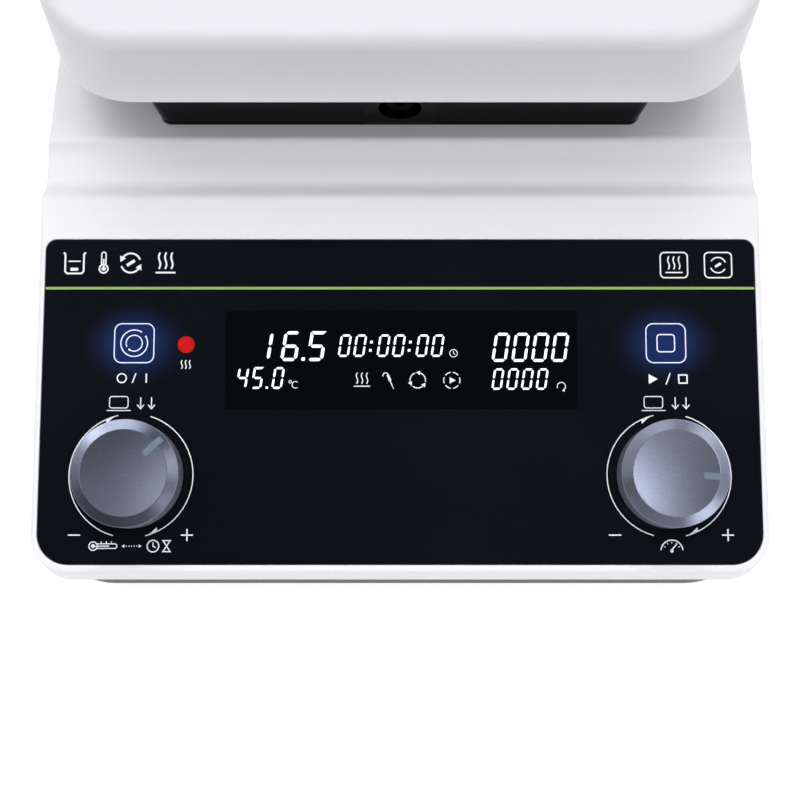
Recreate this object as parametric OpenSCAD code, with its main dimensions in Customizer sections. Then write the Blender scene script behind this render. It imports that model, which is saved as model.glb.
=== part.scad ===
// Magnetic stirrer with a square heated plate, a sloping glass control panel,
// two push-and-turn knobs, a spinning magnet carrier and a rear power inlet.
// +Z up, the user stands on the -Y side, origin on the table under the middle
// of the footprint.

/* [Body] */
// Width of the cast housing
body_w = 203; // [200:1:208]
// Length of the cast housing, front to back
body_l = 328; // [328:1:334]
// Height of the housing's front rim above the table
front_z = 20.5; // [20:0.5:22]
// Height of the housing's lower edge, where the base tray begins
skirt_z = 14.5; // [14:0.5:15]
// Slope of the control panel from level
panel_slope = 17.1; // [16.5:0.1:17.5]
// Plan radius of the housing's four corners
corner_r = 11; // [9:0.5:12]
// Wall thickness of the casting
wall = 2.6; // [2.4:0.1:2.8]
// How far the base tray stands in from the housing
tray_inset = 1.3; // [1:0.1:1.6]
// Thickness of the base tray's floor
tray_t = 2; // [1.8:0.1:2.4]

/* [Panel] */
// Width of the glass panel
glass_w = 198.8; // [197:0.2:199]
// Length of the glass panel, up the slope
glass_l = 90.6; // [90:0.2:91]
// Thickness of the glass panel
glass_t = 2; // [1.8:0.1:2.2]
// Sideways distance of each knob and key from the middle
control_x = 74.1; // [73.5:0.1:75]
// Distance of the knobs from the front rim, up the slope
knob_s = 26.7; // [26:0.1:27.5]
// Distance of the keys from the front rim, up the slope
key_s = 63.6; // [62.5:0.1:64]
// Side of the square keys
key_w = 11.4; // [11:0.1:12]

/* [Controls] */
// Knob diameter
knob_d = 29.2; // [28:0.2:30]
// Height of the knob's shoulder above the panel
knob_h = 9.1; // [8.6:0.1:9.6]
// Diameter of the knob's dished face
dish_d = 23.6; // [22:0.2:24]
// Depth of the dish
dish_depth = 0.8; // [0.5:0.1:1]
// Diameter of the encoder shafts
shaft_d = 6; // [5.8:0.1:6]
// Radial running clearance of shafts
run = 0.05; // [0.03:0.01:0.08]

/* [Plate] */
// Side of the square plate
plate_w = 190; // [186:1:192]
// Height of the plate's skirt, bottom edge to top face
plate_t = 25.8; // [25.4:0.2:26.2]
// Plan radius of the plate's corners
plate_r = 23; // [22:0.5:25]
// Radius of the plate's top edge
plate_edge_r = 4.3; // [3.5:0.1:4.5]
// Thickness of the plate under its top face
slab_t = 10.1; // [9.8:0.1:10.4]
// Clear height between the deck and the plate
plate_gap = 23.7; // [23.5:0.1:24]
// Distance from the plate's rear edge to the housing's rear
plate_rear = 22.6; // [22:0.2:23.4]

/* [Support] */
// Width of the support block at its foot
block_w = 138.8; // [136:0.2:140]
// Extra width of the support block at its top, in total
block_flare = 6.5; // [5:0.5:8]
// Depth of the support block's foot flange
block_l = 170.6; // [168:0.2:172]
// Wall of the support block
block_wall = 3; // [2.5:0.1:3.5]

/* [Drive] */
// Motor diameter
motor_d = 60; // [56:1:62]
// Drive magnet diameter
magnet_d = 22; // [20:1:22]
// Distance of each drive magnet from the spin axis
magnet_x = 29; // [28:0.5:29]

/* [Feet] */
// Foot diameter
foot_d = 20; // [18:1:22]
// Foot height
foot_h = 6.5; // [6:0.5:6.5]

/* [Hidden] */
$fn = 64;
overlap = 0.01;
front_y = -body_l / 2;
rear_y = body_l / 2;
half_w = body_w / 2;

// Screw holes
m3_tap_r = 1.52;
m3_clear_r = 1.7;
case_tap_r = 1.72;            // base and foot screws
tie_tap_r = 2.03;             // plate ties and front tie screw
tie_clear_r = 2.2;

// Panel: _s is a distance up the slope from the rim, _n a height off its face
glass_s0 = 2.4;               // front edge of the glass
glass_s1 = glass_s0 + glass_l;
lcd_s = 58.8;                 // middle of the display
lamp_xy = [-59.6, 63.2];      // warning lamp
recess = 2.7;                 // depth of the glass recess
floor_n = -5;                 // inner face of the wall under the glass
pcb_n = -12;                  // upper face of the control board
pcb_t = 1.6;
board_xy = [[-60, 18], [60, 18], [-60, 78], [60, 78]];

// Base tray
tray_z = foot_h;              // underside of the tray
tray_top = tray_z + tray_t;
tray_r = 20;                  // plan radius of the tray's corners
inner_r = tray_r - 2;         // plan radius inside the housing's corners
post_xy = [[-91, -150], [91, -150], [-91, -10], [91, -10], [-91, 124], [91, 124]];
foot_xy = [[-78, -134], [78, -134], [-78, 136], [78, 136]];

// Supply board
psu_xy = [[-68, 89], [4, 89], [-68, 136], [4, 136]];
psu_post_z = 14;              // top of the board's posts
psu_top = 15.6;               // upper face of the board
psu_part_z = psu_top + 0.05;  // underside of the parts on it

// Side profile: a chain of runs and tangent arcs, each [length, turn, radius].
// A turn of 0 is a straight run; a negative turn bends downwards.
function toward(angle) = [cos(angle), sin(angle)];
function step_points(start, heading, step) =
  step[1] == 0
  ? [start + step[0] * toward(heading)]
  : let (count = max(2, ceil(abs(step[1]) / 4)),
         side = sign(step[1]),
         centre = start + step[2] * toward(heading + side * 90))
    [for (i = [1:count])
      centre + step[2] * toward(heading - side * 90 + step[1] * i / count)];
function chain(start, heading, steps, i = 0) =
  i >= len(steps)
  ? []
  : let (points = step_points(start, heading, steps[i]))
    concat(points, chain(points[len(points) - 1], heading + steps[i][1], steps, i + 1));

rim_r = 1.5;                  // radius round the housing's upper edges
rim_tangent = rim_r * tan((90 - panel_slope) / 2);
front_steps = [
  [front_z - skirt_z - rim_tangent, 0, 0],
  [0, panel_slope - 90, rim_r],
  [glass_s1 - rim_tangent, 0, 0],
  [0, 6 - panel_slope, 62],      // lip above the glass
  [0, -38, 3.5],                 // ridge
  [2.6, 0, 0],
  [0, 44, 5.5],                  // drip groove
  [6.035, 0, 0],
  [0, 26, 8],
  [1.095, 0, 0],
  [0, -38, 3.5]                  // shoulder into the level deck
];
front_pts = concat([[front_y, skirt_z]], chain([front_y, skirt_z], 90, front_steps));
deck_start = front_pts[len(front_pts) - 1];
deck_z = deck_start[1];
rear_r = 5;
rear_start = [rear_y - rear_r, deck_z];
side_pts = concat(front_pts, [rear_start], chain(rear_start, 0, [[0, -90, rear_r]]),
  [[rear_y, skirt_z]]);
deck_in = deck_z - wall;      // underside of the deck

// Plate and drive: the _xy lists are from the middle of the plate
plate_z = deck_z + plate_gap;             // plate's lower edge
plate_top = plate_z + plate_t;
plate_y = rear_y - plate_rear - plate_w / 2; // middle of the plate, and the spin axis
slab_z = plate_top - slab_t;              // underside of the plate's slab
tie_xy = [for (x = [-56, 56], y = [-70, 70]) [x, y]];
tie_post_r = 5.2;
bracket_xy = [[-50, -40], [50, -40], [-50, 40], [50, 40]];
motor_xy = [for (angle = [90, 210, 330]) 20 * toward(angle)];
boss_z = deck_in - 3.2;                   // lower end of the bosses under the deck
lead_y = 73;                              // heater lead
sensor_x = 24;

// Rear connectors
recess_y = rear_y - 4;        // floor of the connector recess
recess_x = 8;                 // middle of the recess
recess_w = 150;
rear_z = 33;                  // height of the connectors' middle
inlet_x = 62;
rocker_x = 24;
probe_x = -46;
rod_xy = [-82, rear_y - 15];

// ---- frames ----
// Panel frame: y up the slope from the front rim, z out of the panel.
module on_panel() { translate([0, front_y, front_z]) rotate([panel_slope, 0, 0]) children(); }
module at_knob(x) { on_panel() translate([x, knob_s, 0]) children(); }
module at_key(x) { on_panel() translate([x, key_s, 0]) children(); }
module at_knobs() { for (x = [-control_x, control_x]) at_knob(x) children(); }
module at_keys() { for (x = [-control_x, control_x]) at_key(x) children(); }
module at_lamp() { on_panel() translate(lamp_xy) children(); }
module at_plate() { translate([0, plate_y, 0]) children(); }
module at_each(points) { for (point = points) translate(point) children(); }
module at_magnets() { for (side = [-1, 1]) translate([side * magnet_x, 0, 0]) children(); }
// Connector frame: y up, z forward into the housing from the recess floor.
module at_rear(x) { translate([x, recess_y, rear_z]) rotate([90, 0, 0]) children(); }

// ---- basic shapes; low and high are heights ----
// Rectangle with one radius for its two lower and one for its two upper corners.
module rounded(width, length, low_r, high_r) {
  side_r = max(low_r, high_r);
  translate([-width / 2 + side_r, -length / 2]) square([width - 2 * side_r, length]);
  translate([-width / 2, -length / 2 + low_r]) square([width, length - low_r - high_r]);
  for (side = [-1, 1]) {
    translate([side * (width / 2 - low_r), -length / 2 + low_r]) circle(low_r);
    translate([side * (width / 2 - high_r), length / 2 - high_r]) circle(high_r);
  }
  if (low_r > high_r)
    translate([-width / 2 + high_r, 0]) square([width - 2 * high_r, length / 2]);
}
module rrect(width, length, radius) { rounded(width, length, radius, radius); }
// Round-ended slot; size is its straight part.
module slot(size) {
  end = size[0] > size[1] ? [size[0] / 2, 0] : [0, size[1] / 2];
  square(size, center = true);
  for (side = [-1, 1]) translate(side * end) circle(min(size) / 2);
}
module slab(width, length, radius, low, high) {
  translate([0, 0, low]) linear_extrude(high - low) rrect(width, length, radius);
}
module rod(radius, low, high) { translate([0, 0, low]) cylinder(r = radius, h = high - low); }
module hex_rod(radius, low, high) {
  translate([0, 0, low]) cylinder(r = radius, h = high - low, $fn = 6);
}
module tube(outer_r, bore_r, low, high) {
  difference() {
    rod(outer_r, low, high);
    rod(bore_r, low - 1, high + 1);
  }
}
module box(x0, x1, y0, y1, z0, z1) {
  translate([x0, y0, z0]) cube([x1 - x0, y1 - y0, z1 - z0]);
}
// Box placed by its middle and width across x.
module bar(middle, width, y0, y1, z0, z1) {
  box(middle - width / 2, middle + width / 2, y0, y1, z0, z1);
}
// Cap screw: shank up from the head's seat at z = 0.
module screw(radius, length, head_r, head_h, socket_r) {
  difference() {
    union() {
      rod(radius, -overlap, length);
      rod(head_r, -head_h, 0);
    }
    hex_rod(socket_r, -head_h - 1, -head_h * 0.45);
  }
}
module m3_screw(length) { screw(1.5, length, 2.7, 2.2, 1.3); }
// Upright cylinders on the four plate ties, and on the heater lead.
module tie_rods(radius, low, high) { at_each(tie_xy) rod(radius, low, high); }
module lead_rod(radius, low, high) { translate([0, lead_y, 0]) rod(radius, low, high); }

// ---- housing ----
module side_extrude(width) {
  rotate([90, 0, 90]) translate([0, 0, -width / 2]) linear_extrude(width) children();
}
// Section across the housing with softened upper edges, the top face at 0.
module rim_section() {
  edge_x = half_w + 0.03;
  depth = 220;
  for (side = [-1, 1]) translate([side * (edge_x - rim_r), -rim_r]) circle(rim_r);
  translate([-edge_x + rim_r, -depth]) square([2 * (edge_x - rim_r), depth]);
  translate([-edge_x, -depth]) square([2 * edge_x, depth - rim_r]);
}
// Side profile, plan, and the rim section run along the panel and along the deck.
module housing_outer() {
  intersection() {
    side_extrude(body_w + 2) polygon(side_pts);
    slab(body_w, body_l, corner_r, skirt_z - 1, deck_z + 2);
    on_panel() translate([0, 390, 0]) rotate([90, 0, 0]) linear_extrude(420) rim_section();
    translate([0, rear_y + 10, deck_z + 0.005])
      rotate([90, 0, 0]) linear_extrude(body_l + 20) rim_section();
  }
}
// Side view [y, z] of the panel point at the given distance and height.
function on_slope(distance, height) = [
  front_y + distance * cos(panel_slope) - height * sin(panel_slope),
  front_z + distance * sin(panel_slope) + height * cos(panel_slope)];
module housing_cavity() {
  slope_low = on_slope(0, floor_n);
  slope_high = on_slope(glass_s1 + 2, floor_n);
  front_in = front_y + wall;
  rear_in = rear_y - wall;
  front_top = slope_low[1] + (front_in - slope_low[0]) * tan(panel_slope);
  intersection() {
    side_extrude(body_w) polygon([
      [front_in, skirt_z - 1],
      [front_in, front_top],
      slope_high,
      [deck_start[0] - 8, slope_high[1]],
      [deck_start[0] + 1, deck_in],
      [rear_in, deck_in],
      [rear_in, skirt_z - 1]
    ]);
    slab(body_w - 2 * wall, body_l - 2 * wall, inner_r, skirt_z - 2, deck_z);
  }
}
module housing_posts() {
  at_each(post_xy) rod(4.2, tray_top + 0.1, deck_z - 1);
  on_panel() at_each(board_xy) rod(3.2, pcb_n, floor_n + 0.5);
  at_plate() {
    at_each(bracket_xy) rod(4.6, boss_z, deck_in + 1);
    tie_rods(tie_post_r, boss_z, deck_in + 1);
  }
  // backing of the connector recess
  bar(recess_x, recess_w + 6, recess_y - wall, rear_y, 15.5, 50.4);
  translate(rod_xy) rod(11.6, deck_z - 24, deck_z - 1);
}
// Glass recess and the openings in its floor.
module panel_openings() {
  low = floor_n - 1;
  on_panel() {
    translate([0, 0, -recess]) linear_extrude(10) glass_shape(0.2);
    translate([0, lcd_s, -20]) linear_extrude(30) rrect(104, 33, 1);
    at_each(board_xy) rod(m3_tap_r, pcb_n - 1, -6);
  }
  at_knobs() rod(3.75, low, 5);
  at_keys() slab(17.2, 17.2, 2.7, low, low + 10);
  at_lamp() rod(3, low, 5);
}
module deck_openings() {
  low = deck_in - 5;
  high = deck_z + 5;
  at_plate() {
    rod(43, low, high);
    at_each(bracket_xy) rod(m3_tap_r, low, deck_z - 1.2);
    tie_rods(2.3, low, high);
    lead_rod(5.5, low, high);
  }
  translate(rod_xy) rod(9.05, deck_z - 25, high);
}
module rear_openings() {
  translate([recess_x, rear_y, rear_z])
    rotate([90, 0, 0]) translate([0, 0, -2]) linear_extrude(6) rrect(recess_w, 30, 3);
  at_rear(inlet_x) linear_extrude(30, center = true) rrect(27.4, 26.8, 1);
  at_rear(rocker_x) linear_extrude(30, center = true) rrect(13.2, 20, 0.8);
  at_rear(probe_x) cylinder(r = 7.2, h = 30, center = true);
}
// Upright slots through both side walls.
module side_vents() {
  for (i = [0:10])
    translate([0, 34 + 8 * i, 31.5])
      rotate([90, 0, 90]) linear_extrude(body_w + 10, center = true) slot([3, 17]);
}
module upper_housing() color("white") difference() {
  union() {
    difference() {
      housing_outer();
      housing_cavity();
    }
    // posts are trimmed by the outer form, and below it by the inside of the skirt
    intersection() {
      housing_posts();
      union() {
        housing_outer();
        slab(body_w - 2 * wall, body_l - 2 * wall, corner_r - wall, tray_top, skirt_z + 1);
      }
    }
  }
  panel_openings();
  at_each(post_xy) rod(case_tap_r, tray_top - 1, tray_top + 7.5);
  deck_openings();
  rear_openings();
  side_vents();
}

// ---- base ----
case_clear_r = 2.1;
module tray_shell() {
  inner_w = body_w - 2 * wall;
  inner_l = body_l - 2 * wall;
  difference() {
    union() {
      slab(body_w - 2 * tray_inset, body_l - 2 * tray_inset, tray_r, tray_z, skirt_z - 0.1);
      // locating lips inside the housing's long sides
      slab(inner_w - 0.4, body_l - 46, 1, skirt_z - 1, skirt_z + 3);
    }
    slab(inner_w - 3.6, inner_l - 3.6, tray_r - 4, tray_top, skirt_z + 9);
    at_each(post_xy) {
      rod(case_clear_r, 0, 20);
      rod(4.5, tray_top, 20);
    }
    at_each(foot_xy) rod(case_clear_r, 0, 20);
    // floor slots in two banks, and one more each side near the front
    for (x = [-30, 30], i = [0:9])
      translate([x, -30 + 7 * i, 0]) linear_extrude(20) slot([34, 3]);
    for (x = [-60, 60])
      translate([x, -105, 0]) linear_extrude(20) slot([18, 3]);
  }
}
module tray_bosses() {
  at_each(foot_xy) tube(4.5, case_tap_r, tray_top - overlap, tray_top + 5);
  at_each(psu_xy) tube(3.2, m3_tap_r, tray_top - overlap, psu_post_z);
}
module base_tray() color("dimgray") {
  tray_shell();
  tray_bosses();
}
module base_screws() color("silver")
  translate([0, 0, tray_z]) at_each(post_xy) screw(1.7, 9, 3.4, 2.2, 1.5);
module rubber_feet() {
  foot_r = foot_d / 2;
  foot_top = foot_h - 0.02;
  color("black") at_each(foot_xy) difference() {
    rotate_extrude() polygon([
      [0, 0], [foot_r - 1.4, 0], [foot_r - 0.5, 0.5], [foot_r, 1.4],
      [foot_r, foot_top], [0, foot_top]
    ]);
    rod(4.4, -1, 3.2);
    rod(2.05, -1, 20);
  }
}
module foot_screws() color("silver")
  translate([0, 0, 3.15]) at_each(foot_xy) screw(1.7, 9, 3.8, 2.2, 1.6);

// ---- panel ----
// Outline of the glass, grown all round.
module glass_shape(grow) {
  translate([0, (glass_s0 + glass_s1) / 2])
    rounded(glass_w + 2 * grow, glass_l + 2 * grow, 8.5 + grow, 3 + grow);
}
module panel_glass() color("black") difference() {
  on_panel() translate([0, 0, -0.2 - glass_t]) linear_extrude(glass_t) glass_shape(0);
  at_knobs() rod(6.7, -10, 5);
  at_keys() slab(key_w + 0.2, key_w + 0.2, 2.1, -10, 5);
  at_lamp() rod(2.42, -10, 5);
}
module panel_gasket() color("dimgray") on_panel()
  translate([0, 0, -recess + 0.02]) linear_extrude(recess - glass_t - 0.24) difference() {
    glass_shape(-0.4);
    glass_shape(-2.2);
  }
module lcd_slab(low, high) { translate([0, lcd_s, 0]) slab(102, 31.4, 0.5, low, high); }
module lcd_glass() color("darkslategray") on_panel() lcd_slab(-4.6, -2.8);
module lcd_backlight() color("lightgray") on_panel() {
  lcd_slab(-8.4, -4.65);
  // legs down to the control board
  for (x = [-46, 46], y = [-12, 12])
    translate([x, lcd_s + y, 0]) rod(1.6, pcb_n + 0.05, -8.3);
}
module control_board() color("darkgreen") on_panel() difference() {
  translate([0, 48, 0]) slab(170, 70, 2, pcb_n - pcb_t, pcb_n);
  at_each(board_xy) rod(m3_clear_r, -20, 0);
}
module control_components() {
  part_n = pcb_n + 0.02;
  under_n = pcb_n - pcb_t - 0.02;
  // each part: x from, x to, y from, y to, top above the board
  parts = [
    [-6, 6, 22, 34, 1.4],
    [-36, -28, 20, 32, 2.2],
    [24, 44, 18, 25, 5.6]
  ];
  color("dimgray") {
    on_panel() {
      for (part = parts)
        box(part[0], part[1], part[2], part[3], part_n, pcb_n + part[4]);
      bar(0, 24, 70, 76, under_n - 5, under_n);
    }
    // a pair beside each key switch, and one under the lamp
    at_keys() for (x = [-6.4, 6.4]) bar(x, 2, -1.5, 1.5, part_n, pcb_n + 1.2);
    at_lamp() rod(1.5, part_n, pcb_n + 1.3);
  }
}
module encoder_bodies() color("silver") at_knobs() difference() {
  union() {
    bar(0, 12.4, -6.2, 6.2, pcb_n + 0.05, floor_n - 0.3);
    rod(3.5, floor_n - 0.4, -0.4);
  }
  rod(shaft_d / 2 + run, pcb_n + 0.4, 2);
}
module encoder_nuts() color("silver") at_knobs() difference() {
  hex_rod(5.7, -recess + 0.02, -0.7);
  rod(3.52, -10, 5);
}
module tact_switches() color("dimgray") at_keys() difference() {
  bar(0, 6.2, -3.1, 3.1, pcb_n + 0.05, -8.4);
  rod(1.8, pcb_n + 0.7, 0);
}
module key_light_guides() color("white") at_keys()
  translate([0, 0, -7.5]) linear_extrude(5.27) difference() {
    rrect(16.8, 16.8, 2.6);
    rrect(14.2, 14.2, 2.4);
  }
module hot_lamp_lens() color("red") at_lamp() {
  rod(2.35, -2.9, -0.2);
  rod(1.9, -10.4, -2.8);
}
// Key cap, its wider flange and its stem.
module panel_key(x) {
  flange_w = 13.2;
  flange_n = -3.4;
  color("midnightblue") at_key(x) {
    slab(key_w, key_w, 2, flange_n, -0.25);
    slab(flange_w, flange_w, 2.4, flange_n, flange_n + 0.95);
    rod(1.7, -10.4, flange_n + 0.1);
  }
}

// ---- knobs ----
knob_r = knob_d / 2;
knob_top = knob_h + 1.3;
hub_top = 7.5;
module push_disc(x) color("silver") at_knob(x) rod(shaft_d / 2 - 0.1, -10.6, -10.05);
// The shaft has a flat on its +x side, matched in the hub's bore.
module encoder_shaft(x) color("silver") at_knob(x) difference() {
  rod(shaft_d / 2, -10, 6.8);
  box(1.5, 5, -5, 5, 1.2, 10);
}
module knob_hub(x) color("dimgray") at_knob(x) difference() {
  union() {
    rod(5.2, 1, hub_top);
    rod(knob_r - 1.7, 6.2, hub_top);
  }
  difference() {
    rod(shaft_d / 2 + 0.02, 0, 6.9);
    box(1.52, 5, -5, 5, 1.25, 10);
  }
}
module knob_cap(x) {
  // sphere that cuts the dish to its depth
  sphere_r = (pow(dish_d / 2 - 0.15, 2) + pow(dish_depth, 2)) / (2 * dish_depth);
  color("slategray") at_knob(x) difference() {
    rotate_extrude() polygon([
      [0, 0.6], [knob_r - 0.3, 0.6], [knob_r, 0.9], [knob_r, knob_h],
      [dish_d / 2, knob_top], [0, knob_top]
    ]);
    rod(knob_r - 1.65, 0, hub_top + 0.05);
    translate([0, 0, knob_top - dish_depth + sphere_r]) sphere(sphere_r, $fn = 96);
  }
}

// ---- plate ----
heater_r = 84;
drive_hole_r = 47;            // hole in the layers under the heater, round the magnets
// Rounded square with a rounded top edge: two bars and four turned corners.
module plate_section() {
  half = plate_w / 2;
  union() {
    translate([-half, plate_z]) square([2 * half, plate_t - plate_edge_r]);
    translate([-half + plate_edge_r, plate_z]) square([2 * half - 2 * plate_edge_r, plate_t]);
    for (side = [-1, 1])
      translate([side * (half - plate_edge_r), plate_top - plate_edge_r]) circle(plate_edge_r);
  }
}
module plate_form() {
  corner = plate_w / 2 - plate_r;
  rotate([90, 0, 0]) linear_extrude(2 * corner, center = true) plate_section();
  rotate([90, 0, 90]) linear_extrude(2 * corner, center = true) plate_section();
  for (x = [-1, 1], y = [-1, 1])
    translate([x * corner, y * corner, 0]) rotate_extrude() {
      translate([0, plate_z]) square([plate_r, plate_t - plate_edge_r]);
      translate([0, plate_z]) square([plate_r - plate_edge_r, plate_t]);
      translate([plate_r - plate_edge_r, plate_top - plate_edge_r]) circle(plate_edge_r);
    }
}
// Plain slab of the plate's plan, set in all round.
module inset_slab(inset, low, high) {
  slab(plate_w - 2 * inset, plate_w - 2 * inset, plate_r - inset, low, high);
}
module sensor_rod(radius, low, high) { translate([sensor_x, 0, 0]) rod(radius, low, high); }
module heating_plate() color("white") at_plate() difference() {
  union() {
    difference() {
      plate_form();
      inset_slab(3.5, plate_z - 1, slab_z);
    }
    tie_rods(5, plate_z + 1.35, slab_z + 1);
  }
  tie_rods(tie_tap_r, plate_z, slab_z - 1.5);
  sensor_rod(2.1, slab_z - 1, slab_z + 5);
}
module heat_shield_pan() color("gainsboro") at_plate() difference() {
  inset_slab(3.8, plate_z, plate_z + 1.2);
  rod(drive_hole_r, plate_z - 1, plate_z + 5);
  tie_rods(tie_clear_r, plate_z - 1, plate_z + 5);
  lead_rod(4, plate_z - 1, plate_z + 5);
}
module insulation_board() color("beige") at_plate() difference() {
  inset_slab(4, plate_z + 1.3, slab_z - 4);
  rod(drive_hole_r, plate_z - 1, slab_z);
  tie_rods(5.3, plate_z - 1, slab_z);
  lead_rod(4, plate_z - 1, slab_z);
}
module heater_clamp() color("silver") at_plate() difference() {
  rod(heater_r, slab_z - 3.9, slab_z - 2.7);
  sensor_rod(3, slab_z - 5, slab_z);
  lead_rod(4, slab_z - 5, slab_z);
}
module heater_element() color("tan") at_plate() difference() {
  rod(heater_r, slab_z - 2.6, slab_z - 0.1);
  sensor_rod(3, slab_z - 5, slab_z + 1);
}
module plate_sensor() color("silver") at_plate() {
  sensor_rod(2, slab_z - 5, slab_z + 4.6);
  sensor_rod(2.6, slab_z - 4.8, slab_z - 4);
}
module plate_screws() {
  seat = boss_z - 0.05;
  color("silver") at_plate() translate([0, 0, seat])
    at_each(tie_xy) screw(2, slab_z - 3 - seat, 3.5, 3, 1.8);
}

// ---- support block ----
band_h = 1.2;                 // height of the block's upright foot band
band_top = deck_z + band_h;
block_r = 3.4;                // plan radius of the block's corners
block_lean = atan(block_flare / 2 / (plate_z - 0.1 - deck_z - band_h));
front_screw_z = deck_z + 10.4;
// Rounded rectangle that grows by block_flare from low to high.
module flared(width, length, radius, low, high) {
  translate([0, 0, low])
    linear_extrude(
      high - low,
      scale = [(width + block_flare) / width, (length + block_flare) / length],
      slices = 1
    ) rrect(width, length, radius, $fn = 32);
}
// Level bore through the front wall, starting at a depth behind the block's foot.
module front_bore(radius, depth) {
  translate([0, -block_l / 2 + depth, front_screw_z])
    rotate([90, 0, 0]) cylinder(r = radius, h = 20);
}
module support_block() {
  inner_w = block_w - 2 * block_wall;
  inner_l = block_l - 2 * block_wall;
  color([0.06, 0.06, 0.07]) at_plate() difference() {
    union() {
      slab(block_w, block_l, block_r, deck_z + 0.02, band_top);
      flared(block_w, block_l, block_r, band_top - overlap, plate_z - 0.1);
      // low pad on the leaning front face
      translate([0, -block_l / 2, band_top]) rotate([block_lean, 0, 0])
        bar(0, 20.4, -0.6, 3, 0.3, plate_z - deck_z - band_h - 0.6);
    }
    // hollow, leaving the tie posts and the front screw's boss
    difference() {
      flared(inner_w, inner_l, 2, deck_z + 2.4, plate_z + 1);
      tie_rods(tie_post_r, deck_z, plate_z + 10);
      front_bore(8.4, 12);
    }
    rod(45, deck_z - 1, deck_z + 5);
    tie_rods(tie_clear_r, deck_z - 1, plate_z + 1);
    lead_rod(5.5, deck_z - 1, deck_z + 5);
    front_bore(6.1, 3);
    front_bore(tie_tap_r, 14);
  }
}
module front_tie_screw() color("silver") at_plate()
  translate([0, -block_l / 2 + 2.97, front_screw_z])
    rotate([-90, 0, 0]) screw(2, 8.5, 4, 2.8, 2);

// ---- motor and magnets ----
bracket_low = deck_in - 5.2;
bracket_high = deck_in - 3.25;
motor_top = bracket_low - 0.05;
motor_bot = motor_top - 25;
carrier_z = slab_z - 21.2;    // underside of the carrier's bar
carrier_screw_z = carrier_z - 7;
module motor_bracket() color("silver") at_plate() difference() {
  slab(114, 94, 6, bracket_low, bracket_high);
  rod(10.2, 0, 60);
  at_each(bracket_xy) rod(m3_clear_r, 0, 60);
  at_each(motor_xy) rod(m3_clear_r, 0, 60);
}
module motor_can() color("gray") at_plate() difference() {
  rod(motor_d / 2, motor_bot, motor_top);
  // hollow, leaving bearing seats and screw bosses
  difference() {
    rod(motor_d / 2 - 1.8, motor_bot + 2, motor_top - 2);
    rod(10, motor_bot, motor_bot + 6);
    rod(10, motor_top - 6, motor_top);
    at_each(motor_xy) rod(3, motor_top - 6, motor_top);
  }
  rod(8.03, motor_bot - 1, motor_bot + 5);
  rod(8.03, motor_top - 5, motor_top + 1);
  rod(4, motor_bot - 1, motor_top + 1);
  at_each(motor_xy) rod(m3_tap_r, motor_top - 5, motor_top + 1);
}
module motor_bearings() color("silver") at_plate() {
  tube(8, 3.02, motor_bot, motor_bot + 4.9);
  tube(8, 3.02, motor_top - 4.9, motor_top);
}
module motor_stator() color("sienna") at_plate() difference() {
  tube(motor_d / 2 - 1.85, 15.6, motor_bot + 7, motor_top - 7);
  for (i = [0:8]) rotate(i * 40) box(15, 24, -2, 2, 0, 60);
}
module motor_rotor() color("dimgray") at_plate()
  tube(15, 3.01, motor_bot + 7.5, motor_top - 7.5);
module motor_shaft() color("silver") at_plate() rod(3, motor_bot - 1, slab_z - 17.5);
module magnet_carrier() color("gainsboro") at_plate() difference() {
  union() {
    rod(8, carrier_z - 14, carrier_z + 1);
    intersection() {
      bar(0, 90, -12, 12, carrier_z, carrier_z + 4);
      rod(magnet_x + magnet_d / 2 + 1.9, carrier_z - 1, carrier_z + 6);
    }
    at_magnets() rod(magnet_d / 2 + 1.6, carrier_z, carrier_z + 13);
  }
  at_magnets() rod(magnet_d / 2 + 0.03, carrier_z + 4, carrier_z + 20);
  rod(3.01, carrier_z - 20, carrier_z + 20);
  translate([0, 0, carrier_screw_z]) rotate([0, 90, 0]) cylinder(r = m3_tap_r, h = 20);
}
module drive_magnets() color("silver") at_plate() at_magnets()
  rod(magnet_d / 2, carrier_z + 4.05, carrier_z + 14.5);
module carrier_screw() color("black") at_plate()
  translate([0, 0, carrier_screw_z]) rotate([0, 90, 0]) difference() {
    rod(1.5, 3.05, 8);
    hex_rod(0.8, 6, 9);
  }

// M3 cap screws: control board, supply board, motor bracket and motor.
module m3_screws() color("silver") {
  on_panel() translate([0, 0, pcb_n - pcb_t - 0.02]) at_each(board_xy) m3_screw(7);
  translate([0, 0, psu_top + 0.02]) at_each(psu_xy) rotate([180, 0, 0]) m3_screw(5.4);
  at_plate() {
    translate([0, 0, bracket_low - 0.02]) at_each(bracket_xy) m3_screw(6);
    translate([0, 0, bracket_high + 0.02])
      at_each(motor_xy) rotate([180, 0, 0]) m3_screw(6.2);
  }
}

// ---- supply ----
module power_board() color("darkgreen") difference() {
  translate([-32, 112.5, 0]) slab(84, 57, 2, psu_post_z + 0.02, psu_top);
  at_each(psu_xy) rod(m3_clear_r, 0, 30);
}
// A frame open front to back, with a separate block inside.
module power_transformer() color("goldenrod") {
  difference() {
    bar(-50, 32, 98, 126, psu_part_z, 38);
    bar(-50, 22, 97, 127, 21, 33);
  }
  bar(-50, 21.8, 99, 125, 21.1, 32.9);
}
module power_capacitors() color("navy")
  at_each([[-24, 122], [-24, 104], [-10, 122]]) difference() {
    rod(6.2, psu_part_z, 35);
    tube(6.3, 5.8, 31.6, 32.4);
  }
module triac_heatsink() {
  left = -14;
  top = 41;
  color("silver") {
    box(left, 0, 94, 96, psu_part_z, top);
    for (x = [left:3:-2]) box(x, x + 1.4, 96 - overlap, 106, psu_part_z, top);
  }
}

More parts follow.
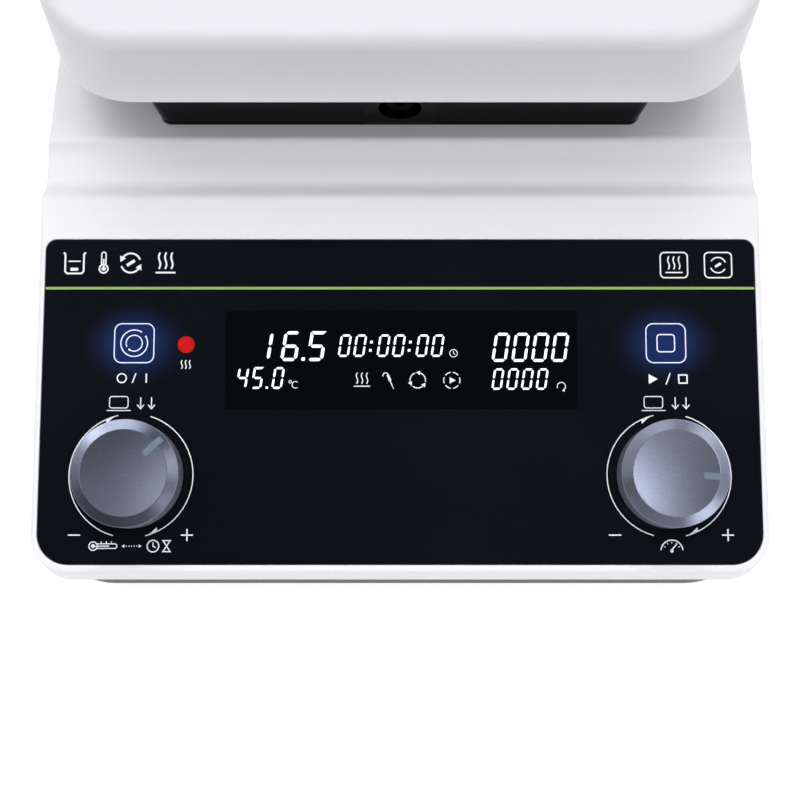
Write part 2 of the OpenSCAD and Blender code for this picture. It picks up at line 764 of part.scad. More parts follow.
// ---- rear connectors ----
pin_z = rear_z - 4;           // middle of the inlet's pin opening
fuse_y = recess_y - 10;
fuse_z = rear_z + 9.2;
fuse_bore_r = 2.65;
fuse_bore_l = 20.4;
module at_fuse() { translate([inlet_x, fuse_y, fuse_z]) rotate([0, 90, 0]) children(); }
module mains_inlet() {
  // [x, downward distance from the middle]
  pin_opening = [[-12.2, 8.1], [12.2, 8.1], [12.2, -5], [9, -8.1], [-9, -8.1], [-12.2, -5]];
  color("black") difference() {
    at_rear(inlet_x) {
      translate([0, 0, -2.3]) linear_extrude(2.25) rrect(29.4, 28.8, 2);
      translate([0, 0, -0.1]) linear_extrude(26) rrect(27, 26.4, 1);
    }
    translate([inlet_x, recess_y - 15, pin_z])
      rotate([-90, 0, 0]) linear_extrude(30) polygon(pin_opening);
    bar(inlet_x, 22.6, recess_y - 22, rear_y, rear_z + 6.1, rear_z + 12.3);
  }
}
module mains_pins() color("silver")
  for (pin = [[-7, 2], [0, -2], [7, 2]])
    bar(inlet_x + pin[0], 2, recess_y - 14.98, recess_y - 2,
      pin_z + pin[1] - 2.2, pin_z + pin[1] + 2.2);
module fuse_drawer() color("black") difference() {
  union() {
    bar(inlet_x, 22.2, recess_y - 21, recess_y + 2.4, rear_z + 6.3, rear_z + 12.1);
    bar(inlet_x, 24.8, recess_y + 2.35, recess_y + 3.6, rear_z + 5.4, rear_z + 13);
  }
  // fuse bore, open upwards
  at_fuse() cylinder(r = fuse_bore_r, h = fuse_bore_l, center = true);
  bar(inlet_x, fuse_bore_l, fuse_y - fuse_bore_r, fuse_y + fuse_bore_r, fuse_z, rear_z + 14);
  // notch in the top of the drawer's front
  bar(inlet_x, 10, recess_y + 3, recess_y + 5, rear_z + 11.6, rear_z + 14);
}
module fuse() color("gainsboro") at_fuse() {
  cylinder(r = 2.3, h = 12, center = true);
  for (side = [-1, 1])
    translate([0, 0, side * 7.6]) cylinder(r = 2.55, h = 4.8, center = true);
}
rocker_pivot = [rocker_x, recess_y - 1.2, rear_z];
module rocker_housing() color("black") difference() {
  at_rear(rocker_x) {
    translate([0, 0, -2.2]) linear_extrude(2.15) rrect(15.4, 22.4, 1.6);
    translate([0, 0, -0.1]) linear_extrude(18) rrect(12.9, 19.7, 0.6);
  }
  bar(rocker_x, 10.8, recess_y - 12, rear_y, rear_z - 8.8, rear_z + 8.8);
  translate(rocker_pivot) rotate([0, 90, 0]) cylinder(r = 1.05, h = 12.1, center = true);
}
module rocker_lever() {
  // [y, z] from the pivot, before the lever tilts
  outline = [[2.9, -7.7], [1.9, 0], [2.9, 7.7], [1.2, 8.1], [-3.5, 4], [-3.5, -4], [1.2, -8.1]];
  color("black") translate(rocker_pivot) rotate([10, 0, 0]) {
    rotate([90, 0, 90]) linear_extrude(10.4, center = true) polygon(outline);
    rotate([0, 90, 0]) cylinder(r = 1, h = 11.9, center = true);
  }
}
module probe_socket() color("black") at_rear(probe_x) difference() {
  union() {
    rod(9.2, -1.8, -0.05);
    rod(7.9, -3.2, -1.7);
    rod(7, -0.1, 13);
  }
  rod(6.3, -5, 8);
}
module probe_contacts() color("goldenrod") at_rear(probe_x)
  for (angle = [0:45:180]) rotate(angle) translate([3.9, 0, 0]) rod(0.6, 0, 7.95);
module rod_socket() color("silver") translate(rod_xy) difference() {
  union() {
    rod(9, deck_z - 25, deck_z + 1);
    rod(10.4, deck_z + 0.02, deck_z + 2);
  }
  rod(4.25, deck_z - 23, deck_z + 5);
}
module cable_grommet() color("black") at_plate() difference() {
  union() {
    lead_rod(5.4, deck_in - 1.8, deck_z + 3.5);
    lead_rod(7.5, deck_in - 1.8, deck_in - 0.05);
    lead_rod(7.5, deck_z + 2.45, deck_z + 3.9);
  }
  lead_rod(3, 0, 100);
}
// A cable is one straight round run between two points.
module cable(start, end, radius) {
  span = end - start;
  translate(start)
    rotate([0, acos(span[2] / norm(span)), atan2(span[1], span[0])])
      cylinder(r = radius, h = norm(span));
}
module wiring_harness() color("firebrick") {
  // heater and sensor lead, up through the grommet into the plate
  cable([0, plate_y + lead_y, 18], [0, plate_y + lead_y, plate_z + 10], 2.2);
  // mains lead from the inlet, and the switch lead, to the supply board
  cable([inlet_x, recess_y - 28, 30], [8, 118, 17.8], 2);
  cable([rocker_x, recess_y - 20.5, 30], [6, 130, 17.6], 1.6);
  // control lead, from the supply board forward to the control board
  cable([-36, 82, 13.8], [-8, -87, 21.6], 1.8);
  // motor lead
  cable([-18, 58, 16.9], [-29, 90, 17.6], 1.3);
}

upper_housing();
base_tray();
base_screws();
rubber_feet();
foot_screws();
panel_gasket();
panel_glass();
lcd_glass();
lcd_backlight();
control_board();
control_components();
encoder_bodies();
encoder_nuts();
tact_switches();
key_light_guides();
hot_lamp_lens();
support_block();
front_tie_screw();
heat_shield_pan();
insulation_board();
heater_clamp();
heater_element();
heating_plate();
plate_screws();
plate_sensor();
motor_bracket();
motor_can();
motor_stator();
motor_bearings();
m3_screws();
power_board();
power_transformer();
power_capacitors();
triac_heatsink();
mains_inlet();
mains_pins();
rocker_housing();
probe_socket();
probe_contacts();
rod_socket();
cable_grommet();
wiring_harness();
motor_shaft();
motor_rotor();
magnet_carrier();
drive_magnets();
carrier_screw();
push_disc(-control_x);  // left_push_disc
encoder_shaft(-control_x);  // left_encoder_shaft
knob_hub(-control_x);  // left_knob_hub
knob_cap(-control_x);  // left_knob_cap
push_disc(control_x);  // right_push_disc
encoder_shaft(control_x);  // right_encoder_shaft
knob_hub(control_x);  // right_knob_hub
knob_cap(control_x);  // right_knob_cap
panel_key(-control_x);  // power_key
panel_key(control_x);  // start_key
rocker_lever();
fuse_drawer();
fuse();
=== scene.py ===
"""Looks, printed artwork and studio for a hotplate stirrer with two knobs and a display.

The stirrer stands on z = 0 with x to the right. Its control panel is at the front (-y) and
slopes up towards the back. Artwork is drawn in the panel's own frame, in millimetres:
x to the right, y up the slope, z out along the panel's normal.
"""
import bpy
import bmesh
import math
from mathutils import Matrix, Vector


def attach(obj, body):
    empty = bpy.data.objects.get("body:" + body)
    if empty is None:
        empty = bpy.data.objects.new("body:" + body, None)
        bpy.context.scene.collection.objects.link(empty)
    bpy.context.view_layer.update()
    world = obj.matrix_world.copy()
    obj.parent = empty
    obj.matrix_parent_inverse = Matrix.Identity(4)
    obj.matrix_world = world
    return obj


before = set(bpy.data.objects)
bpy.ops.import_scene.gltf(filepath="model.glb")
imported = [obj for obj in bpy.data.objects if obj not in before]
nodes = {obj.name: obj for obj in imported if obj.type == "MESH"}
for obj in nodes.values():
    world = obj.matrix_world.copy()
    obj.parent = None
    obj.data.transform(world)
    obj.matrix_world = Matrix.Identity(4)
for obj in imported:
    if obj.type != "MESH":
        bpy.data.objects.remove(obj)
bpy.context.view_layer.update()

MM = 0.001

# ------------------------------------------------------------------ panel dimensions, mm

SLOPE = math.radians(17.1)
PANEL = Matrix.Translation((0, -164 * MM, 20.5 * MM)) @ Matrix.Rotation(SLOPE, 4, "X")
PANEL_NORMAL = (0.0, -math.sin(SLOPE), math.cos(SLOPE))
GLASS_FACE = -0.2
INK_BOTTOM, INK_TOP = GLASS_FACE - 0.02, GLASS_FACE + 0.035
WINDOW_TOP = GLASS_FACE + 0.012
KEY_INK_BOTTOM, KEY_INK_TOP = -0.27, -0.205
SIDE_X = 74.1          # knobs and keys stand at plus and minus this
KNOB_Y = 26.7
KEY_Y = 63.6
LAMP_X, LAMP_Y = -59.6, 63.2

# Knob cap: a spherical dish within a flat lip, then a chamfer down to the side.
CAP_RADIUS = 29.2 / 2
LIP_RADIUS = 23.6 / 2
DISH_RADIUS = LIP_RADIUS - 0.15
DISH_DEPTH = 0.8
CHAMFER_FOOT, CHAMFER_HEIGHT = 9.1, 1.3
LIP_HEIGHT = CHAMFER_FOOT + CHAMFER_HEIGHT


def panel_point(x, y, z=GLASS_FACE):
    """A point of the panel's frame in world axes, in millimetres."""
    return tuple((PANEL @ Vector((x * MM, y * MM, z * MM))) * 1000)


# ------------------------------------------------------------------ material nodes


def shade(color, factor, lift=0.0):
    return [min(1, channel * factor + lift) for channel in color]


class Material:
    """A node material on one Principled shader. Sizes and depths are in millimetres."""

    def __init__(self, name, color, rough, metallic=0.0, **inputs):
        self.material = bpy.data.materials.new(name)
        self.material.use_nodes = True
        self.tree = self.material.node_tree
        self.tree.nodes.clear()
        output = self.node("ShaderNodeOutputMaterial")
        self.shader = self.node("ShaderNodeBsdfPrincipled")
        self.link(self.shader.outputs[0], output.inputs[0])
        coords = self.node("ShaderNodeTexCoord")
        to_mm = self.node("ShaderNodeVectorMath", operation="SCALE")
        to_mm.inputs["Scale"].default_value = 1000.0
        self.link(coords.outputs["Object"], to_mm.inputs[0])
        self.position = to_mm.outputs[0]
        self.shader.inputs["Metallic"].default_value = metallic
        for key, value in inputs.items():
            self.shader.inputs[key.replace("_", " ")].default_value = value
        self.color = self.node("ShaderNodeRGB").outputs[0]
        self.color.default_value = (*color, 1)
        self.rough = self.node("ShaderNodeValue").outputs[0]
        self.rough.default_value = rough
        self.normal = None
        self.edge_mask = None
        self.heights = []

    def node(self, kind, **properties):
        node = self.tree.nodes.new(kind)
        for key, value in properties.items():
            setattr(node, key, value)
        return node

    def link(self, source, target):
        self.tree.links.new(source, target)

    def feed(self, target, value):
        """Link a socket to target, or set target to a plain value."""
        if hasattr(value, "links"):
            self.link(value, target)
        else:
            target.default_value = value

    def math(self, operation, first, second=0.0, third=0.0, clamp=False):
        node = self.node("ShaderNodeMath", operation=operation, use_clamp=clamp)
        for target, value in zip(node.inputs, (first, second, third)):
            self.feed(target, value)
        return node.outputs[0]

    def vector_math(self, operation, first, second=None):
        node = self.node("ShaderNodeVectorMath", operation=operation)
        self.link(first, node.inputs[0])
        if second is not None:
            self.feed(node.inputs[1], second)
        return node.outputs["Value" if operation in ("LENGTH", "DOT_PRODUCT") else 0]

    def stretch(self, factors):
        """Object position times factors, to draw a grain out along one axis."""
        return self.vector_math("MULTIPLY", self.position, factors)

    def noise(self, size, detail=2, rough=0.5, position=None, distortion=0.0):
        node = self.node("ShaderNodeTexNoise")
        node.inputs["Scale"].default_value = 1.0 / size
        node.inputs["Detail"].default_value = detail
        node.inputs["Roughness"].default_value = rough
        node.inputs["Distortion"].default_value = distortion
        self.link(position or self.position, node.inputs["Vector"])
        return node.outputs[0]

    def voronoi(self, size, **properties):
        node = self.node("ShaderNodeTexVoronoi", **properties)
        node.inputs["Scale"].default_value = 1.0 / size
        self.link(self.position, node.inputs["Vector"])
        return node.outputs["Distance"]

    def wave(self, size, axis, distortion=0.0, position=None):
        node = self.node("ShaderNodeTexWave", bands_direction=axis)
        node.inputs["Scale"].default_value = 0.314 / size
        node.inputs["Distortion"].default_value = distortion
        self.link(position or self.position, node.inputs["Vector"])
        return node.outputs["Fac"]

    def remap(self, value, low, high, to_low=0.0, to_high=1.0):
        node = self.node("ShaderNodeMapRange")
        for target, source in zip(node.inputs, (value, low, high, to_low, to_high)):
            self.feed(target, source)
        return node.outputs[0]

    def patches(self, size, low, high, amount=1.0, **noise):
        """Noise that is 0 up to low and rises to amount at high."""
        return self.remap(self.noise(size, **noise), low, high, to_high=amount)

    def tint(self, mask, color):
        node = self.node("ShaderNodeMix", data_type="RGBA")
        self.link(mask, node.inputs[0])
        self.link(self.color, node.inputs[6])
        node.inputs[7].default_value = (*color, 1)
        self.color = node.outputs[2]

    def mottle(self, color, amount, size, low=0.4, high=0.7, detail=3, **noise):
        self.tint(self.patches(size, low, high, amount, detail=detail, **noise), color)

    def add_rough(self, mask, amount):
        """rough += (mask - 0.5) * amount"""
        centred = self.math("SUBTRACT", mask, 0.5)
        self.rough = self.math("MULTIPLY_ADD", centred, amount, self.rough, clamp=True)

    def vary_rough(self, amount, size, detail=3, **noise):
        self.add_rough(self.noise(size, detail, **noise), amount)

    def add_height(self, mask, depth):
        self.heights.append(self.math("MULTIPLY", mask, depth))

    def bump(self, depth, size, **noise):
        self.add_height(self.noise(size, **noise), depth)

    def soften_edges(self, radius):
        """Soften edges at render time, and keep a mask that is 1 on an edge."""
        bevel = self.node("ShaderNodeBevel", samples=4)
        bevel.inputs["Radius"].default_value = radius * MM
        self.normal = bevel.outputs[0]
        geometry = self.node("ShaderNodeNewGeometry")
        facing = self.vector_math("DOT_PRODUCT", self.normal, geometry.outputs["Normal"])
        self.edge_mask = self.remap(facing, low=0.985, high=0.88)

    def wear_edges(self, color, amount, size, low=0.45):
        worn = self.patches(size, low, high=0.7, amount=amount, detail=3)
        self.tint(self.math("MULTIPLY", self.edge_mask, worn), color)

    def offset_from(self, centre):
        return self.vector_math("SUBTRACT", self.position, centre)

    def distance_from(self, centre):
        return self.vector_math("LENGTH", self.offset_from(centre))

    def axis_distance(self, centre, axis):
        across = self.vector_math("CROSS_PRODUCT", self.offset_from(centre), axis)
        return self.vector_math("LENGTH", across)

    def glow(self, color, strength):
        self.feed(self.shader.inputs["Emission Color"], color)
        self.feed(self.shader.inputs["Emission Strength"], strength)

    def finish(self):
        if self.heights:
            height = self.heights[0]
            for extra in self.heights[1:]:
                height = self.math("ADD", height, extra)
            bump = self.node("ShaderNodeBump")
            bump.inputs["Strength"].default_value = 1.0
            bump.inputs["Distance"].default_value = MM
            self.link(height, bump.inputs["Height"])
            if self.normal is not None:
                self.link(self.normal, bump.inputs["Normal"])
            self.normal = bump.outputs[0]
        if self.normal is not None:
            self.link(self.normal, self.shader.inputs["Normal"])
        self.link(self.color, self.shader.inputs["Base Color"])
        self.link(self.rough, self.shader.inputs["Roughness"])
        return self.material


# ------------------------------------------------------------------ kinds of material


def powder_coat(name, color):
    mat = Material(name, color, rough=0.34, Specular_IOR_Level=0.45)
    mat.soften_edges(radius=0.5)
    mat.mottle(shade(color, 0.82), amount=0.03, size=60, low=0.3)
    mat.mottle(shade(color, 0.75), amount=0.03, size=0.6, low=0.55, high=0.75, detail=2)
    mat.wear_edges(shade(color, 1.06), amount=0.25, size=4)
    mat.vary_rough(amount=0.16, size=18)
    mat.vary_rough(amount=0.10, size=0.9, detail=2)
    mat.bump(depth=0.010, size=1.3, rough=0.55)
    mat.bump(depth=0.0015, size=0.35, detail=1)
    return mat.finish()


def ceramic_coat(name, color):
    mat = Material(name, color, rough=0.34, Specular_IOR_Level=0.4)
    mat.mottle(shade(color, 0.86), amount=0.05, size=45, low=0.35, detail=4)
    mat.mottle(shade(color, 0.8), amount=0.10, size=0.8, low=0.66, high=0.80)
    mat.vary_rough(amount=0.14, size=25, detail=4)
    streaks = mat.wave(size=0.6, axis="Y", distortion=6.0, position=mat.stretch((0.1, 1, 1)))
    mat.add_rough(mat.remap(streaks, low=0, high=1, to_low=0.4, to_high=0.6), amount=0.10)
    mat.bump(depth=0.006, size=2.2)
    mat.bump(depth=0.001, size=0.4, detail=1)
    return mat.finish()


def moulded(name, color, rough, grain=0.45, depth=0.012, mottling=0.25):
    mat = Material(name, color, rough, Specular_IOR_Level=0.45)
    mat.soften_edges(radius=0.3)
    mat.mottle(shade(color, 0.72), amount=mottling, size=22, low=0.3, high=0.75)
    mat.wear_edges(shade(color, 1.7, lift=0.02), amount=0.35, size=3)
    mat.mottle(shade(color, 1.35, lift=0.01), amount=0.15, size=grain * 3,
               low=0.6, high=0.8, detail=2)
    mat.vary_rough(amount=0.18, size=9)
    mat.add_height(mat.voronoi(grain), depth)
    mat.bump(depth=depth * 0.6, size=grain * 2.2)
    return mat.finish()


def gloss(name, color, rough, mottling=0.3, coat=0.3, specular=0.5):
    mat = Material(name, color, rough, Specular_IOR_Level=specular,
                   Coat_Weight=coat, Coat_Roughness=0.08)
    mat.soften_edges(radius=0.35)
    mat.mottle(shade(color, 0.6), amount=mottling, size=16, low=0.3)
    mat.wear_edges(shade(color, 1.8, lift=0.015), amount=0.4, size=2.5, low=0.4)
    mat.add_rough(mat.patches(size=7, low=0.3, high=0.7, detail=4), amount=0.14)
    mat.add_rough(mat.patches(size=0.5, low=0.6, high=0.8), amount=0.06)
    mat.bump(depth=0.012, size=5)
    mat.bump(depth=0.0012, size=0.5)
    return mat.finish()


def metal(name, color, rough, size, grain=(1, 1, 1), depth=0.004):
    """Bare metal; an axis with a grain factor below 1 is the one the grain runs along."""
    mat = Material(name, color, rough, metallic=1.0)
    mat.soften_edges(radius=0.15)
    along = dict(rough=0.6, position=mat.stretch(grain))
    mat.mottle(shade(color, 0.62), amount=0.35, size=size, low=0.3, **along)
    mat.mottle(shade(color, 0.75), amount=0.35, size=7, low=0.45, high=0.75, detail=4)
    mat.wear_edges(shade(color, 1.35, lift=0.05), amount=0.6, size=1.5, low=0.4)
    mat.vary_rough(amount=0.25, size=size * 1.4, **along)
    mat.vary_rough(amount=0.2, size=5)
    mat.bump(depth=depth, size=size, **along)
    return mat.finish()


def turned_cap(name, x):
    """Anodised knob cap: a brushed dish inside a chamfer turned on a lathe."""
    color = (0.203, 0.225, 0.302)
    mat = Material(name, color, rough=0.38, metallic=1.0, Coat_Weight=0.2, Coat_Roughness=0.3)
    mat.soften_edges(radius=0.18)
    radius = mat.axis_distance(panel_point(x, KNOB_Y, 0), PANEL_NORMAL)

    brushed = mat.noise(size=0.22, detail=3, rough=0.7, position=mat.stretch((0.07, 1, 1)))
    in_dish = mat.remap(radius, low=11.9, high=11.6)
    streaks = mat.remap(brushed, low=0.35, high=0.7, to_high=0.40)
    mat.tint(mat.math("MULTIPLY", in_dish, streaks), shade(color, 0.68))
    mat.add_rough(mat.math("MULTIPLY", in_dish, brushed), amount=0.10)
    mat.add_height(mat.math("MULTIPLY", in_dish, brushed), depth=0.003)

    by_radius = mat.node("ShaderNodeCombineXYZ")
    mat.link(mat.math("MULTIPLY", radius, 1.0), by_radius.inputs[0])
    rings = mat.noise(size=0.16, rough=0.7, position=by_radius.outputs[0])
    mat.tint(mat.remap(rings, low=0.3, high=0.7, to_high=0.26), shade(color, 0.70))
    mat.mottle(shade(color, 1.4), amount=0.5, size=0.35, low=0.45, high=0.75, detail=2)
    mat.mottle(shade(color, 0.8), amount=0.15, size=9)
    mat.tint(mat.math("MULTIPLY", mat.edge_mask, 0.5), shade(color, 1.35, lift=0.04))
    mat.add_rough(rings, amount=0.14)
    mat.vary_rough(amount=0.16, size=0.3, detail=2)
    mat.add_height(rings, depth=0.0035)
    mat.bump(depth=0.003, size=0.22)

    # The upright side is rougher and less metallic.
    side = mat.remap(radius, low=14.35, high=14.55)
    mat.link(mat.remap(side, low=0, high=1, to_low=1.0, to_high=0.7),
             mat.shader.inputs["Metallic"])
    mat.add_rough(mat.math("ADD", side, 0.5), amount=0.25)
    return mat.finish()


def rubber(name):
    mat = Material(name, (0.018, 0.018, 0.019), rough=0.72, Specular_IOR_Level=0.35)
    mat.soften_edges(radius=0.3)
    mat.mottle((0.05, 0.05, 0.052), amount=0.45, size=6, detail=4)
    mat.wear_edges((0.11, 0.11, 0.11), amount=0.6, size=2, low=0.4)
    mat.vary_rough(amount=0.2, size=3)
    mat.bump(depth=0.02, size=0.6, detail=3, rough=0.7)
    return mat.finish()


def circuit_board(name):
    mat = Material(name, (0.012, 0.085, 0.038), rough=0.28,
                   Specular_IOR_Level=0.5, Coat_Weight=0.3)
    cells = mat.voronoi(size=6.0, feature="DISTANCE_TO_EDGE", distance="MANHATTAN")
    tracks = mat.remap(cells, low=0.05, high=0.08)
    mat.tint(mat.math("MULTIPLY", tracks, 0.6), (0.02, 0.16, 0.07))
    pads = mat.remap(mat.voronoi(size=3.1), low=0.16, high=0.13)
    mat.tint(mat.math("MULTIPLY", pads, 0.85), (0.62, 0.60, 0.55))
    mat.add_rough(pads, amount=0.2)
    mat.add_height(tracks, depth=0.03)
    mat.add_height(mat.wave(size=0.5, axis="X"), depth=0.003)
    return mat.finish()


def fibre(name, color, dark, size=0.8):
    mat = Material(name, color, rough=0.9, Specular_IOR_Level=0.1, Sheen_Weight=0.15)
    matted = dict(size=size, detail=5, rough=0.7, position=mat.stretch((1, 0.25, 2)))
    mat.mottle(dark, amount=0.7, low=0.35, distortion=1.0, **matted)
    mat.mottle(shade(color, 0.8), amount=0.3, size=14)
    mat.bump(depth=0.12, **matted)
    return mat.finish()


def banded(name, color, dark, size, axis, rough, metallic=0.0, depth=0.06, distortion=0.6):
    """Windings, tape or cable lay: rounded bands side by side, with painted shade in the grooves
    between them.
    """
    mat = Material(name, color, rough, metallic)
    bands = mat.wave(size, axis, distortion)
    # Painted shade: the tint darkens the grooves between the bands.
    mat.tint(mat.remap(bands, low=0.0, high=0.55, to_low=0.8, to_high=0.0), dark)
    mat.mottle(shade(color, 0.7), amount=0.4, size=5)
    mat.vary_rough(amount=0.2, size=1.2)
    mat.add_height(bands, depth)
    mat.bump(depth=0.005, size=0.5)
    return mat.finish()


def ink(name, color, strength=0.0, rough=0.45, specular=0.3):
    """Screen-printed ink or a lit segment: slightly uneven laydown. A strength above 0 makes it
    glow: backlight for lit segments and legends, painted light for plain print.
    """
    mat = Material(name, color, rough, Specular_IOR_Level=specular)
    mat.mottle(shade(color, 0.8), amount=0.14, size=0.5, low=0.45, high=0.75)
    mat.mottle(shade(color, 0.85), amount=0.08, size=14, detail=2)
    mat.vary_rough(amount=0.2, size=0.8, detail=2)
    mat.bump(depth=0.002, size=0.3)
    # Glow: the backlight of lit segments and legends; on plain print it is painted light.
    if strength:
        mat.glow(mat.color, strength)
    return mat.finish()


def black_glass(name):
    """Polished glass over mottled black ink, with blue light spilling round the two keys."""
    mat = Material(name, (0.0022, 0.0034, 0.0055), rough=0.10, Specular_IOR_Level=0.2)
    mat.mottle((0.0048, 0.0062, 0.0088), amount=0.6, size=70, low=0.35, detail=2)
    mat.mottle((0.010, 0.012, 0.015), amount=0.3, size=0.7, low=0.6, high=0.8)
    mat.vary_rough(amount=0.08, size=30, detail=4)
    mat.add_rough(mat.patches(size=0.6, low=0.65, high=0.8, detail=3), amount=0.06)
    mat.bump(depth=0.01, size=40, detail=1)
    halos = []
    for x in (-SIDE_X, SIDE_X):
        offset = mat.offset_from(panel_point(x, KEY_Y))
        widened = mat.vector_math("MULTIPLY", offset, (0.86, 1.1, 1.1))
        distance = mat.vector_math("LENGTH", widened)
        halos.append(mat.math("POWER", mat.remap(distance, low=15.5, high=4.6), 2.7))
    mat.glow((0.035, 0.085, 0.36, 1), mat.math("MULTIPLY", mat.math("ADD", *halos), 0.30))
    return mat.finish()


def lit_key(name, x):
    """Deep blue key, brightest in the middle."""
    mat = Material(name, (0.003, 0.005, 0.020), rough=0.16, Specular_IOR_Level=0.12)
    distance = mat.distance_from(panel_point(x, KEY_Y))
    mat.mottle((0.005, 0.008, 0.030), amount=0.4, size=2.5)
    mat.vary_rough(amount=0.1, size=2)
    mat.bump(depth=0.002, size=0.5)
    centre = mat.remap(distance, low=9.5, high=0.0, to_low=0.20, to_high=0.31)
    uneven = mat.remap(mat.noise(size=3), low=0.2, high=0.8, to_low=0.9, to_high=1.1)
    mat.glow((0.030, 0.075, 0.34, 1), mat.math("MULTIPLY", centre, uneven))
    return mat.finish()


def red_lens(name):
    mat = Material(name, (0.30, 0.002, 0.003), rough=0.22, Specular_IOR_Level=0.12)
    distance = mat.distance_from(panel_point(LAMP_X, LAMP_Y))
    mat.mottle((0.45, 0.004, 0.004), amount=0.3, size=0.8, detail=2)
    mat.vary_rough(amount=0.12, size=0.7, detail=2)
    mat.bump(depth=0.004, size=0.35)
    mat.glow((0.95, 0.012, 0.010, 1),
             mat.remap(distance, low=2.5, high=0.6, to_low=0.19, to_high=0.30))
    return mat.finish()


def pale_floor(name):
    """Glows so that the floor stays pale; the camera sees it brighter than other rays do."""
    color = (0.55, 0.55, 0.55)
    mat = Material(name, color, rough=0.9, Specular_IOR_Level=0.0)
    mat.mottle(shade(color, 0.97), amount=0.02, size=300, detail=2)
    seen = mat.node("ShaderNodeLightPath").outputs["Is Camera Ray"]
    mat.glow((1, 1, 1, 1), mat.remap(seen, low=0, high=1, to_low=0.58, to_high=0.80))
    return mat.finish()


MATERIALS = {
    "housing": powder_coat("housing_powder_coat", (0.80, 0.798, 0.832)),
    "plate": ceramic_coat("plate_ceramic", (0.645, 0.646, 0.680)),
    "tray": moulded("tray_texture", (0.13, 0.135, 0.14), rough=0.55),
    "rubber": rubber("rubber_feet_mat"),
    "zinc": metal("zinc_screw", (0.60, 0.60, 0.62), rough=0.36, size=0.6),
    "nickel": metal("nickel_plate", (0.66, 0.63, 0.58), rough=0.26, size=0.5),
    "glass": black_glass("panel_black_glass"),
    "foam": moulded("foam_tape", (0.03, 0.03, 0.032), rough=0.9, grain=0.3, depth=0.05),
    "lcd": gloss("lcd_polariser", (0.012, 0.014, 0.016), rough=0.2),
    "diffuser": moulded("frosted_diffuser", (0.72, 0.74, 0.77), rough=0.6, grain=0.25,
                        depth=0.01, mottling=0.1),
    "board": circuit_board("solder_mask"),
    "epoxy": moulded("epoxy_black", (0.02, 0.02, 0.022), rough=0.5, grain=0.3, depth=0.008),
    "key_l": lit_key("power_key_mat", -SIDE_X),
    "key_r": lit_key("start_key_mat", SIDE_X),
    "lamp": red_lens("lamp_red"),
    "block": gloss("block_gloss_black", (0.0016, 0.0016, 0.0024), rough=0.24, coat=0.0,
                   specular=0.06),
    "sheet": metal("rolled_sheet", (0.66, 0.66, 0.67), rough=0.3, size=0.4, grain=(0.06, 1, 1)),
    "mineral": fibre("mineral_board", (0.66, 0.60, 0.48), dark=(0.42, 0.37, 0.28)),
    "mica": fibre("mica_sheet", (0.40, 0.30, 0.17), dark=(0.62, 0.52, 0.33), size=3.0),
    "can": metal("motor_can_zinc", (0.42, 0.42, 0.43), rough=0.4, size=0.8, grain=(1, 1, 0.2)),
    "copper": banded("copper_winding", (0.55, 0.21, 0.09), dark=(0.16, 0.05, 0.02),
                     size=0.45, axis="Z", rough=0.3, metallic=0.9),
    "rotor": metal("rotor_ferrite", (0.14, 0.14, 0.15), rough=0.55, size=0.5, grain=(1, 1, 0.3)),
    "nylon": moulded("glass_filled_nylon", (0.62, 0.60, 0.54), rough=0.55, grain=0.5,
                     depth=0.015),
    "magnet": metal("magnet_nickel", (0.62, 0.62, 0.63), rough=0.18, size=1.2, depth=0.002),
    "sleeve": gloss("capacitor_sleeve", (0.012, 0.02, 0.07), rough=0.25),
    "extrusion": metal("extruded_aluminium", (0.58, 0.59, 0.61), rough=0.36, size=0.5,
                       grain=(1, 1, 0.05)),
    "connector": gloss("connector_black", (0.016, 0.016, 0.017), rough=0.3),
    "rocker": gloss("rocker_black", (0.02, 0.02, 0.021), rough=0.22),
    "gold": metal("gold_flash", (0.80, 0.56, 0.20), rough=0.22, size=0.5, depth=0.002),
    "cable": banded("silicone_cable", (0.26, 0.02, 0.016), dark=(0.12, 0.01, 0.01),
                    size=1.2, axis="Y", rough=0.5, depth=0.02, distortion=1.0),
    "tape": banded("transformer_tape", (0.66, 0.42, 0.06), dark=(0.30, 0.18, 0.03),
                   size=1.6, axis="Z", rough=0.35, depth=0.05),
    "hub": moulded("knob_hub", (0.05, 0.055, 0.06), rough=0.5),
    # Near black so that the screw in the block's pocket reads as the pocket's shade: painted shade.
    "pocket_screw_painted_shade": gloss("pocket_screw_painted_shade", (0.0012, 0.0012, 0.0016), rough=0.40, mottling=0.2,
                          coat=0.0, specular=0.04),
    "grub": moulded("black_oxide", (0.004, 0.004, 0.005), rough=0.42, grain=0.3, depth=0.006),
    "cap_l": turned_cap("left_cap_anodised", -SIDE_X),
    "cap_r": turned_cap("right_cap_anodised", SIDE_X),
    # The white print glows a little: painted light.
    "white_ink_painted_glow": ink("white_ink_painted_glow", (0.74, 0.76, 0.79), strength=0.10),
    "bright_ink": ink("lit_segment", (0.80, 0.86, 0.86), strength=0.55),
    "key_ink": ink("lit_legend", (0.58, 0.63, 0.80), strength=0.40),
    # The green stripe glows a little: painted light.
    "green_ink_painted_glow": ink("green_ink_painted_glow", (0.225, 0.42, 0.102), strength=0.13),
    # The pointer inlay glows faintly: painted light.
    "mark_ink_painted_glow": ink("mark_ink_painted_glow", (0.15, 0.19, 0.245), strength=0.02, rough=0.5, specular=0.15),
    "window_ink": ink("window_ink", (0.0012, 0.0020, 0.0026), rough=0.16, specular=0.12),
}

